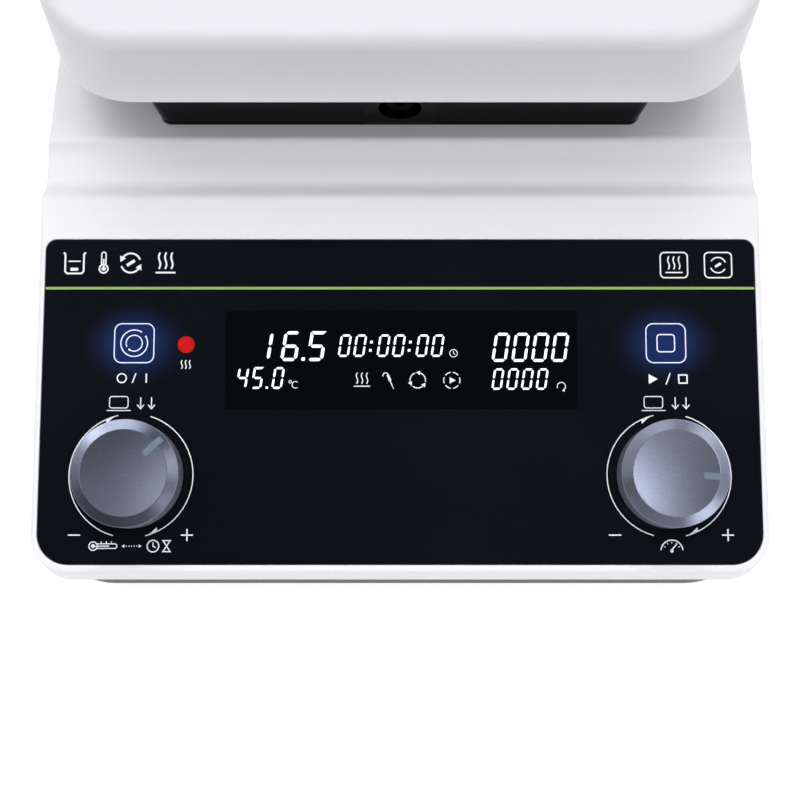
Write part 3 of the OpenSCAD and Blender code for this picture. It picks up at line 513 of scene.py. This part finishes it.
# Material: the CAD pieces that wear it.
WORN_BY = dict(
    housing="upper_housing", plate="heating_plate", tray="base_tray",
    rubber="rubber_feet cable_grommet", zinc="base_screws foot_screws plate_screws m3_screws",
    nickel="encoder_bodies encoder_nuts plate_sensor motor_bearings mains_pins rod_socket "
           "motor_shaft left_push_disc left_encoder_shaft right_push_disc "
           "right_encoder_shaft fuse",
    glass="panel_glass", foam="panel_gasket", lcd="lcd_glass",
    diffuser="lcd_backlight key_light_guides", board="control_board power_board",
    epoxy="control_components tact_switches", key_l="power_key", key_r="start_key",
    lamp="hot_lamp_lens", block="support_block",
    sheet="heat_shield_pan heater_clamp motor_bracket", mineral="insulation_board",
    mica="heater_element", can="motor_can", copper="motor_stator", rotor="motor_rotor",
    nylon="magnet_carrier", magnet="drive_magnets", sleeve="power_capacitors",
    extrusion="triac_heatsink", connector="mains_inlet rocker_housing probe_socket fuse_drawer",
    rocker="rocker_lever", gold="probe_contacts", cable="wiring_harness",
    tape="power_transformer", hub="left_knob_hub right_knob_hub",
    pocket_screw_painted_shade="front_tie_screw", grub="carrier_screw",
    cap_l="left_knob_cap", cap_r="right_knob_cap")
LOOK = {piece: key for key, pieces in WORN_BY.items() for piece in pieces.split()}

for name, piece in nodes.items():
    piece.data.materials.clear()
    piece.data.materials.append(MATERIALS[LOOK[name]])

# ------------------------------------------------------------------ flat artwork


def polar(centre, radius, degrees):
    angle = math.radians(degrees)
    return (centre[0] + radius * math.cos(angle), centre[1] + radius * math.sin(angle))


def rounded(centre, width, height, corner, steps=7):
    """Outline of a rectangle with rounded corners, anticlockwise."""
    points = []
    for side, end, start in ((1, 1, 0), (-1, 1, 90), (-1, -1, 180), (1, -1, 270)):
        pivot = (centre[0] + side * (width / 2 - corner), centre[1] + end * (height / 2 - corner))
        points += [polar(pivot, corner, start + 90 * i / steps) for i in range(steps + 1)]
    return points


def add_piece(name, bm, placement, material, body):
    """Turn bm, drawn in millimetres, into an object that rides on a body."""
    bmesh.ops.recalc_face_normals(bm, faces=bm.faces[:])
    mesh = bpy.data.meshes.new(name)
    bm.to_mesh(mesh)
    bm.free()
    mesh.transform(Matrix.Diagonal((MM, MM, MM, 1)))
    mesh.transform(placement)
    mesh.materials.append(MATERIALS[material])
    piece = bpy.data.objects.new(name, mesh)
    bpy.context.scene.collection.objects.link(piece)
    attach(piece, body)


class Artwork:
    """Thin closed solids on the panel: filled shapes and strokes, in millimetres."""

    def __init__(self, bottom=INK_BOTTOM, top=INK_TOP):
        self.bm = bmesh.new()
        self.bottom, self.top = bottom, top

    def verts(self, points, z):
        return [self.bm.verts.new((x, y, z)) for x, y in points]

    def fill(self, points):
        area = sum(a[0] * b[1] - b[0] * a[1] for a, b in zip(points, points[1:] + points[:1]))
        if area < 0:
            points = points[::-1]
        low = self.verts(points, self.bottom)
        high = self.verts(points, self.top)
        self.bm.faces.new(high)
        self.bm.faces.new(low[::-1])
        for i in range(len(points)):
            j = (i + 1) % len(points)
            self.bm.faces.new((low[i], low[j], high[j], high[i]))

    def stroke(self, points, width, closed=False, taper=(1.0, 1.0)):
        """A mitred line along points. taper gives the width's factor at both ends."""
        count = len(points)
        left, right = [], []
        for i, point in enumerate(points):
            before = points[i - 1] if (i or closed) else point
            after = points[(i + 1) % count] if (i < count - 1 or closed) else point
            arrive = Vector((point[0] - before[0], point[1] - before[1]))
            leave = Vector((after[0] - point[0], after[1] - point[1]))
            arrive = arrive.normalized() if arrive.length > 1e-9 else leave.normalized()
            leave = leave.normalized() if leave.length > 1e-9 else arrive
            along = arrive + leave
            along = along.normalized() if along.length > 1e-6 else arrive
            across = Vector((-along.y, along.x))
            mitre = 1.0 / max(0.35, across.dot(Vector((-arrive.y, arrive.x))))
            factor = taper[0] + (taper[1] - taper[0]) * i / (count - 1)
            offset = across * (width / 2 * mitre * factor)
            left.append((point[0] + offset.x, point[1] + offset.y))
            right.append((point[0] - offset.x, point[1] - offset.y))
        left_low, left_high = self.verts(left, self.bottom), self.verts(left, self.top)
        right_low, right_high = self.verts(right, self.bottom), self.verts(right, self.top)
        face = self.bm.faces.new
        for i in range(count if closed else count - 1):
            j = (i + 1) % count
            face((left_high[i], right_high[i], right_high[j], left_high[j]))
            face((left_low[j], right_low[j], right_low[i], left_low[i]))
            face((left_low[i], left_high[i], left_high[j], left_low[j]))
            face((right_low[j], right_high[j], right_high[i], right_low[i]))
        if not closed:
            face((left_low[0], right_low[0], right_high[0], left_high[0]))
            face((left_high[-1], right_high[-1], right_low[-1], left_low[-1]))

    def arc(self, centre, radius, start, end, width):
        steps = max(6, int(abs(end - start) / 6))
        self.stroke([polar(centre, radius, start + (end - start) * i / steps)
                     for i in range(steps + 1)], width)

    def ring(self, centre, radius, width, steps):
        self.stroke([polar(centre, radius, 360 * i / steps) for i in range(steps)], width, True)

    def disc(self, centre, radius, steps):
        self.fill([polar(centre, radius, 360 * i / steps) for i in range(steps)])

    def frame(self, centre, width, height, corner, line):
        """A rounded rectangular outline, measured over the outside of its line."""
        inner_corner = max(0.05, corner - line / 2)
        self.stroke(rounded(centre, width - line, height - line, inner_corner), line, True)

    def heat_waves(self, x, y, width, height, line, base=True):
        """Rising heat: three wavy upright strokes, over a bar if base is set."""
        foot = y + (height * 0.22 if base else 0)
        rise = y + height - foot
        for i in (-1, 0, 1):
            middle = x + width * (0.5 + i * 0.31)
            self.stroke([(middle + width * 0.055 * math.sin(2 * math.pi * k / 12)
                          + width * 0.05 * (k / 12 - 0.5), foot + rise * k / 12)
                         for k in range(13)], line)
        if base:
            self.stroke([(x, y + line / 2), (x + width, y + line / 2)], line)

    def arc_arrow(self, centre, radius, start, sweep, line, gap, tip, tail, half_width):
        """An anticlockwise arc, with an arrowhead centred gap degrees past its end."""
        self.arc(centre, radius, start, start + sweep, line)
        degrees = start + sweep + gap
        middle = polar(centre, radius, degrees)
        out_x, out_y = polar((0, 0), 1, degrees)
        self.fill([(middle[0] - out_y * ahead + out_x * out, middle[1] + out_x * ahead + out_y * out)
                   for ahead, out in ((tip, 0), (-tail, half_width), (-tail, -half_width))])

    def build(self, name, material="white_ink_painted_glow", body="base", slot="diffuser"):
        add_piece(name, self.bm, PANEL, material, body)


# ------------------------------------------------------------------ display

# Bars of each digit shown: a top, b and c right, d bottom, e and f left, g middle.
# The 5 has its top and upper left bars drawn apart, with a mitred corner.
SEGMENTS = {"0": "abcdef", "1": "bc", "4": "fgbc", "5": "gcd", "6": "afgedc"}
SLANT = 0.15


def seven_segment(art, digit, x, y, width, height, bar):
    """One figure leaning right, in separate six-sided bars of thickness bar."""
    gap = 0.08 + 0.13 * bar
    half = bar / 2
    left, right = half, width - half
    low, middle, high = half, height / 2, height - half
    ends = {"a": (left, high, right, high), "d": (left, low, right, low),
            "g": (left, middle, right, middle), "f": (left, middle, left, high),
            "e": (left, low, left, middle), "b": (right, middle, right, high),
            "c": (right, low, right, middle)}

    def fill_leaning(points):
        art.fill([(x + across + SLANT * up, y + up) for across, up in points])

    for segment in SEGMENTS[digit]:
        x0, y0, x1, y1 = ends[segment]
        if y0 == y1:
            fill_leaning([(x0 + gap, y0), (x0 + gap + half, y0 + half),
                          (x1 - gap - half, y1 + half), (x1 - gap, y1),
                          (x1 - gap - half, y1 - half), (x0 + gap + half, y0 - half)])
        else:
            fill_leaning([(x0, y0 + gap), (x0 + half, y0 + gap + half),
                          (x1 + half, y1 - gap - half), (x1, y1 - gap),
                          (x1 - half, y1 - gap - half), (x0 - half, y0 + gap + half)])
    if digit == "5":
        fill_leaning([(gap, height), (width - 0.2, height),
                      (width - 0.2 - bar * 0.95, height - bar), (bar + gap, height - bar)])
        fill_leaning([(0, height - gap), (bar, height - bar - gap),
                      (bar, middle + half + gap * 0.6), (0, middle)])


def figures(art, placed, **size):
    for digit, x in placed:
        seven_segment(art, digit, x, **size)


def zeros(start, pitch):
    return [("0", start + pitch * i) for i in range(4)]


def display_window():
    """A slightly deeper black let into the print."""
    art = Artwork(top=WINDOW_TOP)
    art.fill(rounded((0.4, 58.85), 98.0, 27.5, corner=0.4, steps=3))
    art.build("display_window", "window_ink", slot="lcd")


def main_figures():
    art = Artwork()
    figures(art, (("1", -41.0), ("6", -33.4), ("5", -26.1)),
            y=58.55, width=4.6, height=8.4, bar=0.88)
    art.fill(rounded((-26.95, 59.1), 0.98, 0.98, corner=0.25, steps=3))
    figures(art, zeros(25.4, pitch=5.5), y=58.35, width=4.2, height=8.15, bar=0.77)
    art.build("display_main_figures", "bright_ink")


def small_figures():
    art = Artwork()
    # Three pairs of zeros, parted by leaning colons.
    x = -17.4
    for i in range(6):
        seven_segment(art, "0", x, y=59.75, width=3.1, height=6.3, bar=0.58)
        if i in (1, 3):
            for level in (0.30, 0.66):
                dot_x, dot_y = x + 4.55 + SLANT * 6.45 * level, 59.65 + 6.45 * level
                art.fill([(dot_x - 0.36, dot_y - 0.36), (dot_x + 0.36, dot_y - 0.36),
                          (dot_x + 0.41, dot_y + 0.36), (dot_x - 0.31, dot_y + 0.36)])
        x += 6.55 if i in (1, 3) else 4.26
    # Lower row.
    figures(art, (("4", -45.7), ("5", -41.5), ("0", -35.8)),
            y=50.75, width=2.95, height=6.1, bar=0.60)
    art.fill(rounded((-37.0, 51.1), 0.66, 0.66, corner=0.16, steps=3))
    figures(art, zeros(25.3, pitch=4.1), y=50.5, width=2.9, height=6.0, bar=0.58)
    art.build("display_small_figures", "bright_ink")


def display_pictograms():
    art = Artwork()
    # Degrees C, then rising heat.
    art.ring((-30.5, 52.75), 0.38, 0.17, 16)
    art.arc((-29.05, 51.9), 0.92, 50, 310, 0.21)
    art.heat_waves(-12.8, 51.35, 4.5, 3.95, line=0.28)
    # Hook with a thick shank and a thin tail.
    art.arc((-4.0, 54.5), 0.75, 20, 200, 0.26)
    art.stroke([(-3.45, 54.7), (-3.1, 54.0), (-2.75, 53.0)], 0.75, taper=(0.8, 1.0))
    art.stroke([(-2.7, 52.9), (-2.2, 51.7), (-1.75, 50.7)], 0.32, taper=(1.0, 0.5))
    # Three arrows chasing round a circle.
    for start in (110, 230, 350):
        art.arc_arrow((4.92, 53.15), 2.15, start, sweep=80, line=0.28,
                      gap=12, tip=0.8, tail=0.35, half_width=0.6)
    # Broken circle round a triangle.
    for angle in range(0, 360, 60):
        art.arc((14.4, 53.15), 2.25, angle - 21, angle + 21, 0.28)
    art.fill([(13.8, 52.25), (15.5, 53.15), (13.8, 54.05)])
    # Small clock.
    art.ring((14.9, 60.75), 1.05, 0.21, 24)
    art.stroke([(14.9, 61.4), (14.9, 60.7), (15.4, 60.4)], 0.19)
    # Open arc with an arrowhead.
    art.arc((44.8, 51.4), 1.15, -60, 200, 0.23)
    art.fill([(45.8, 49.95), (45.0, 50.2), (45.55, 50.95)])
    art.build("display_pictograms")


# ------------------------------------------------------------------ print on the glass


def panel_stripe():
    art = Artwork()
    art.stroke([(-99.3, 79.2), (99.3, 79.2)], 0.72)
    art.build("panel_stripe", "green_ink_painted_glow", slot="panel_black_glass")


def dial_art(x):
    """What both dials share: two arcs, minus and plus, and the press symbol."""
    art = Artwork()
    centre, radius, line = (x, KNOB_Y), 17.1, 0.29
    left_top, right_foot = 103.5, -75.5
    art.arc(centre, radius, left_top, 254.5, line)
    art.arc(centre, radius, 73.0, right_foot, line)
    # A half barb inside one end of each arc: (outward, degrees on).
    barb = ((0.14, -1.0), (0.14, 12), (-1.1, 13.0), (-0.35, 6))
    for end in (left_top, right_foot):
        art.fill([polar(centre, radius + out, end + turn) for out, turn in barb])
    # Minus and plus.
    y = 10.35
    art.stroke([(x - 16.9, y), (x - 13.5, y)], 0.37)
    art.stroke([(x + 14.1, y), (x + 17.4, y)], 0.37)
    art.stroke([(x + 15.75, y - 1.65), (x + 15.75, y + 1.65)], 0.37)
    # Press: a button over its seat, and two arrows pointing down.
    button_x = x - 3.85
    art.frame((button_x, 47.0), 5.4, 3.45, corner=0.8, line=0.26)
    art.stroke([(button_x - 3.3, 44.7), (button_x + 3.3, 44.7)], 0.26)
    for arrow_x in (x + 2.2, x + 5.2):
        art.stroke([(arrow_x, 48.4), (arrow_x, 45.6)], 0.30)
        art.stroke([(arrow_x - 0.95, 46.3), (arrow_x, 45.2), (arrow_x + 0.95, 46.3)], 0.30)
    return art


def left_dial():
    art = dial_art(-SIDE_X)
    y = 7.35
    # Thermometer lying on its side, with three ticks.
    art.ring((-84.0, y), 1.15, 0.32, 24)
    art.disc((-84.0, y), 0.55, 16)
    for side in (0.62, -0.62):
        art.stroke([(-82.95, y + side), (-78.1, y + side)], 0.3)
    art.arc((-78.1, y), 0.62, 90, -90, 0.3)
    art.stroke([(-83.6, y), (-79.6, y)], 0.3)
    for i in range(3):
        tick_x = -81.8 + 1.4 * i
        art.stroke([(tick_x, y + 0.75), (tick_x, y + 1.35)], 0.24)
    # Dotted two-way arrow.
    for i in range(5):
        art.disc((-74.9 + 0.72 * i, y), 0.17, 8)
    art.fill([(-76.2, y), (-75.4, y + 0.5), (-75.4, y - 0.5)])
    art.fill([(-70.7, y), (-71.5, y + 0.5), (-71.5, y - 0.5)])
    # Clock.
    x, radius, line = -67.6, 1.6, 0.32
    art.ring((x, y), radius, line, 32)
    art.stroke([(x, y + radius * 0.62), (x, y), (x + radius * 0.5, y - radius * 0.28)], line)
    # Hourglass outline.
    art.stroke([(-64.9, y + 1.5), (-62.9, y + 1.5), (-64.9, y - 1.5), (-62.9, y - 1.5)], 0.3, True)
    art.build("left_dial_print")


def right_dial():
    art = dial_art(SIDE_X)
    # Speed gauge.
    centre = x, y = 74.4, 6.0
    art.arc(centre, 3.0, 5, 175, 0.34)
    art.stroke([(x - 0.25, y + 0.1), (x + 1.5, y + 2.0)], 0.42, taper=(1.2, 0.5))
    art.disc(centre, 0.45, 14)
    for angle in range(30, 180, 30):
        art.stroke([polar(centre, 2.1, angle), polar(centre, 2.55, angle)], 0.22)
    art.build("right_dial_print")


def key_symbols():
    """Symbols under the two keys and the lamp."""
    art = Artwork()
    art.ring((-77.3, 53.75), 1.25, 0.34, 28)
    art.stroke([(-74.4, 52.4), (-73.4, 55.1)], 0.34)
    art.stroke([(-70.5, 52.45), (-70.5, 55.05)], 0.4)
    art.heat_waves(-61.4, 56.4, 3.6, 2.4, line=0.3, base=False)
    art.fill([(69.1, 52.1), (71.6, 53.5), (69.1, 54.9)])
    art.stroke([(73.9, 52.0), (75.1, 55.1)], 0.34)
    art.frame((78.6, 53.5), 2.7, 2.7, corner=0.3, line=0.4)
    art.build("key_symbols")


def function_symbols():
    """Symbols on the top band."""
    art = Artwork()
    y, height = 83.4, 6.0
    # Vessel.
    x, rim = -94.0, y + height
    art.stroke([(x - 0.5, rim), (x, rim - 0.5), (x, y + 0.6), (x + 0.6, y), (x + 4.6, y),
                (x + 5.2, y + 0.6), (x + 5.2, rim - 0.5), (x + 5.7, rim)], 0.5)
    art.stroke([(x + 0.9, y + 3.5), (x + 4.3, y + 3.5)], 0.34)
    art.stroke([(x + 1.5, y + 1.2), (x + 3.7, y + 1.2)], 0.85)
    # Upright thermometer.
    x = -83.2
    art.ring((x, y + 1.35), 1.2, 0.45, 24)
    art.disc((x, y + 1.35), 0.6, 16)
    for side in (-0.6, 0.6):
        art.stroke([(x + side, y + 2.4), (x + side, y + 5.5)], 0.36)
    art.arc((x, y + 5.5), 0.6, 0, 180, 0.36)
    art.stroke([(x, y + 1.6), (x, y + 4.2)], 0.4)
    # Stirring: two arrows round a bar.
    x = -75.6
    for start in (20, 200):
        art.arc_arrow((x, y + 3), 2.75, start, sweep=125, line=0.5,
                      gap=9, tip=1.0, tail=0.6, half_width=0.95)
    art.stroke([(x - 1.1, y + 2.3), (x + 1.1, y + 3.7)], 0.85)
    # Heat.
    art.heat_waves(-68.6, y, 5.6, height, line=0.5)
    # Framed heat and framed stirring, at the right.
    heat, stir = (76.9, 85.8), (89.3, 85.8)
    art.frame(heat, 8.0, 7.6, corner=1.4, line=0.38)
    art.heat_waves(74.5, 83.5, 4.8, 4.8, line=0.36)
    art.frame(stir, 8.0, 7.6, corner=1.4, line=0.38)
    for start in (20, 200):
        art.arc(stir, 2.2, start, start + 130, 0.36)
    art.stroke([(88.5, 85.3), (90.1, 86.3)], 0.7)
    art.build("function_symbols")


# ------------------------------------------------------------------ moving pieces


def key_art(centre):
    art = Artwork(KEY_INK_BOTTOM, KEY_INK_TOP)
    art.frame(centre, 11.3, 11.3, corner=2.2, line=0.30)
    return art


def key_legends():
    centre = (-SIDE_X, KEY_Y)
    art = key_art(centre)
    outer, inner = 3.72, 2.25
    art.arc(centre, outer, 56, 391, 0.31)
    art.arc(centre, inner, 234, 567, 0.29)
    art.disc(polar(centre, outer, 30), 0.29, 12)
    art.disc(polar(centre, inner, 234), 0.29, 12)
    art.build("power_key_legend", "key_ink", "power_key", "key_blue")

    centre = (SIDE_X, KEY_Y)
    art = key_art(centre)
    art.frame(centre, 5.2, 5.2, corner=1.0, line=0.33)
    art.build("start_key_legend", "key_ink", "start_key", "key_blue")


def cap_height(radius):
    """Height of the knob cap's top at a radius."""
    if radius < DISH_RADIUS:
        sphere = (DISH_RADIUS ** 2 + DISH_DEPTH ** 2) / (2 * DISH_DEPTH)
        return LIP_HEIGHT - DISH_DEPTH + sphere - math.sqrt(sphere * sphere - radius * radius)
    if radius < LIP_RADIUS:
        return LIP_HEIGHT
    return CHAMFER_FOOT + CHAMFER_HEIGHT * (CAP_RADIUS - radius) / (CAP_RADIUS - LIP_RADIUS)


def pointer(name, x, angle, body):
    """An inlay that follows the cap's dish and chamfer, turned by angle degrees."""
    stations = (7.3, 8.5, 9.8, 11.0, 11.64, 11.8, 12.4, 13.1, 13.7)   # radii
    half, sunk, proud = 0.9, -0.12, 0.045
    section = ((-half, sunk), (half, sunk), (half, proud), (-half, proud))
    bm = bmesh.new()
    rows = [[bm.verts.new((radius, side, cap_height(math.hypot(radius, side)) + lift))
             for side, lift in section] for radius in stations]
    for row, following in zip(rows, rows[1:]):
        for i in range(4):
            j = (i + 1) % 4
            bm.faces.new((row[i], row[j], following[j], following[i]))
    bm.faces.new(rows[0])
    bm.faces.new(rows[-1][::-1])
    bm.transform(Matrix.Rotation(math.radians(angle), 4, "Z"))
    placement = PANEL @ Matrix.Translation((x * MM, KNOB_Y * MM, 0))
    add_piece(name, bm, placement, "mark_ink_painted_glow", body)


display_window()
main_figures()
small_figures()
display_pictograms()
panel_stripe()
left_dial()
right_dial()
key_symbols()
function_symbols()
key_legends()
pointer("left_knob_pointer", -SIDE_X, angle=43, body="left_knob")
pointer("right_knob_pointer", SIDE_X, angle=-5, body="right_knob")

# ------------------------------------------------------------------ studio, in metres

scene = bpy.context.scene


def add_floor(half=6.0):
    mesh = bpy.data.meshes.new("studio_floor")
    bm = bmesh.new()
    for x, y in ((-half, -half), (half, -half), (half, half), (-half, half)):
        bm.verts.new((x, y, 0))
    bm.faces.new(bm.verts)
    bm.to_mesh(mesh)
    bm.free()
    floor = bpy.data.objects.new("studio_floor", mesh)
    mesh.materials.append(pale_floor("pale_floor"))
    scene.collection.objects.link(floor)


def softbox(name, at, size, power, aim=(0, 0, 0.05)):
    light = bpy.data.lights.new(name, "AREA")
    light.shape = "RECTANGLE"
    light.size, light.size_y = size
    light.energy = power
    light.spread = math.pi
    lamp = bpy.data.objects.new(name, light)
    lamp.location = at
    lamp.rotation_euler = (Vector(aim) - Vector(at)).to_track_quat("-Z", "Y").to_euler()
    scene.collection.objects.link(lamp)
    return lamp


def receiver_group(name, pieces):
    """A collection of the only pieces that a linked light falls on."""
    group = bpy.data.collections.new(name + "_receivers")
    for piece in pieces:
        group.objects.link(nodes[piece])
    return group


def linked_lights(name, pieces, lights, centre=(0, -0.138, 0.04), size=0.7, reach=1.4):
    """Softboxes for the named pieces alone, so the black glass stays dark.

    lights rows: azimuth from +x and elevation in degrees, power. reach is the distance
    from centre.
    """
    group = receiver_group(name, pieces)
    for number, (azimuth, elevation, power) in enumerate(lights, 1):
        turn, rise = math.radians(azimuth), math.radians(elevation)
        at = (centre[0] + reach * math.cos(rise) * math.cos(turn),
              centre[1] + reach * math.cos(rise) * math.sin(turn),
              centre[2] + reach * math.sin(rise))
        lamp = softbox("%s_%d" % (name, number), at, (size, size), power)
        lamp.light_linking.receiver_collection = group


# Name, place, size, power.
SOFTBOXES = (
    ("overhead_left", (-0.5, 0.10, 1.40), (0.6, 0.9), 5.6),
    ("overhead_right", (0.5, 0.10, 1.40), (0.6, 0.9), 1.6),
    ("front_right", (0.45, -1.3, 0.95), (0.9, 0.6), 5.4),
    ("back", (0, 0.9, 1.3), (1.4, 0.6), 11.8),
    ("strip", (0, -0.30, 1.35), (1.6, 0.08), 4.6),
)
# Azimuth, elevation, power.
LEFT_KNOB_LIGHTS = (
    (135, 20, 18.5), (180, 20, 0.4), (270, 20, 0.2), (315, 20, 6.0),
    (0, 52, 2.9), (106, 44, 4.8), (180, 52, 4.7), (0, 88, 0.6),
)
RIGHT_KNOB_LIGHTS = (
    (45, 20, 9.2), (225, 20, 2.1), (270, 20, 0.8), (315, 20, 5.4), (350, 25, 0.7),
    (0, 52, 10.9), (90, 48, 3.0), (180, 52, 1.5), (270, 52, 1.3), (130, 42, 3.5),
)
REAR_METAL_LIGHTS = (
    (60, 40, 9), (120, 60, 9), (250, 50, 5), (180, -40, 6), (0, -40, 6),
)


def add_lights():
    for name, at, size, power in SOFTBOXES:
        softbox(name, at, size, power).visible_glossy = False
    linked_lights("left_knob_light", ["left_knob_cap"], LEFT_KNOB_LIGHTS)
    linked_lights("right_knob_light", ["right_knob_cap"], RIGHT_KNOB_LIGHTS)
    # A low strip in front of the heating plate, for the plate alone.
    bounce = softbox("deck_bounce", at=(0, -0.062, 0.058), size=(0.175, 0.006), power=0.0095,
                     aim=(0, -0.049, 0.076))
    bounce.visible_glossy = bounce.visible_camera = False
    bounce.light_linking.receiver_collection = receiver_group("bounce", ["heating_plate"])
    linked_lights(
        "rear_metal_light",
        ["rod_socket", "mains_pins", "probe_contacts", "foot_screws", "base_screws"],
        REAR_METAL_LIGHTS, centre=(0, 0.05, 0.04), size=1.0)


def add_world():
    """White surroundings: full to the camera, dim in reflections, between for the rest."""
    full, diffuse, reflected = (1, 1, 1, 1), 0.376, 0.10
    world = bpy.data.worlds.new("studio")
    scene.world = world
    world.use_nodes = True
    tree = world.node_tree
    tree.nodes.clear()
    link = tree.links.new
    output = tree.nodes.new("ShaderNodeOutputWorld")
    background = tree.nodes.new("ShaderNodeBackground")
    rays = tree.nodes.new("ShaderNodeLightPath")
    strength = tree.nodes.new("ShaderNodeMapRange")
    strength.inputs[3].default_value = diffuse
    strength.inputs[4].default_value = reflected
    link(rays.outputs["Is Glossy Ray"], strength.inputs[0])
    background.inputs[0].default_value = full
    brighter = tree.nodes.new("ShaderNodeMath")
    brighter.operation = "MAXIMUM"
    link(strength.outputs[0], brighter.inputs[0])
    link(rays.outputs["Is Camera Ray"], brighter.inputs[1])
    link(brighter.outputs[0], background.inputs[1])
    link(background.outputs[0], output.inputs[0])


def add_camera():
    lens = bpy.data.cameras.new("camera")
    lens.sensor_width = 36
    lens.lens = 60.08
    lens.clip_start = 0.01
    lens.clip_end = 50
    camera = bpy.data.objects.new("camera", lens)
    camera.location = (0, -0.2696, 0.3723)
    camera.rotation_euler = (math.radians(24.1), 0, 0)
    scene.collection.objects.link(camera)
    scene.camera = camera
    scene.view_settings.view_transform = "Standard"
    scene.view_settings.look = "None"


add_floor()
add_lights()
add_world()
add_camera()
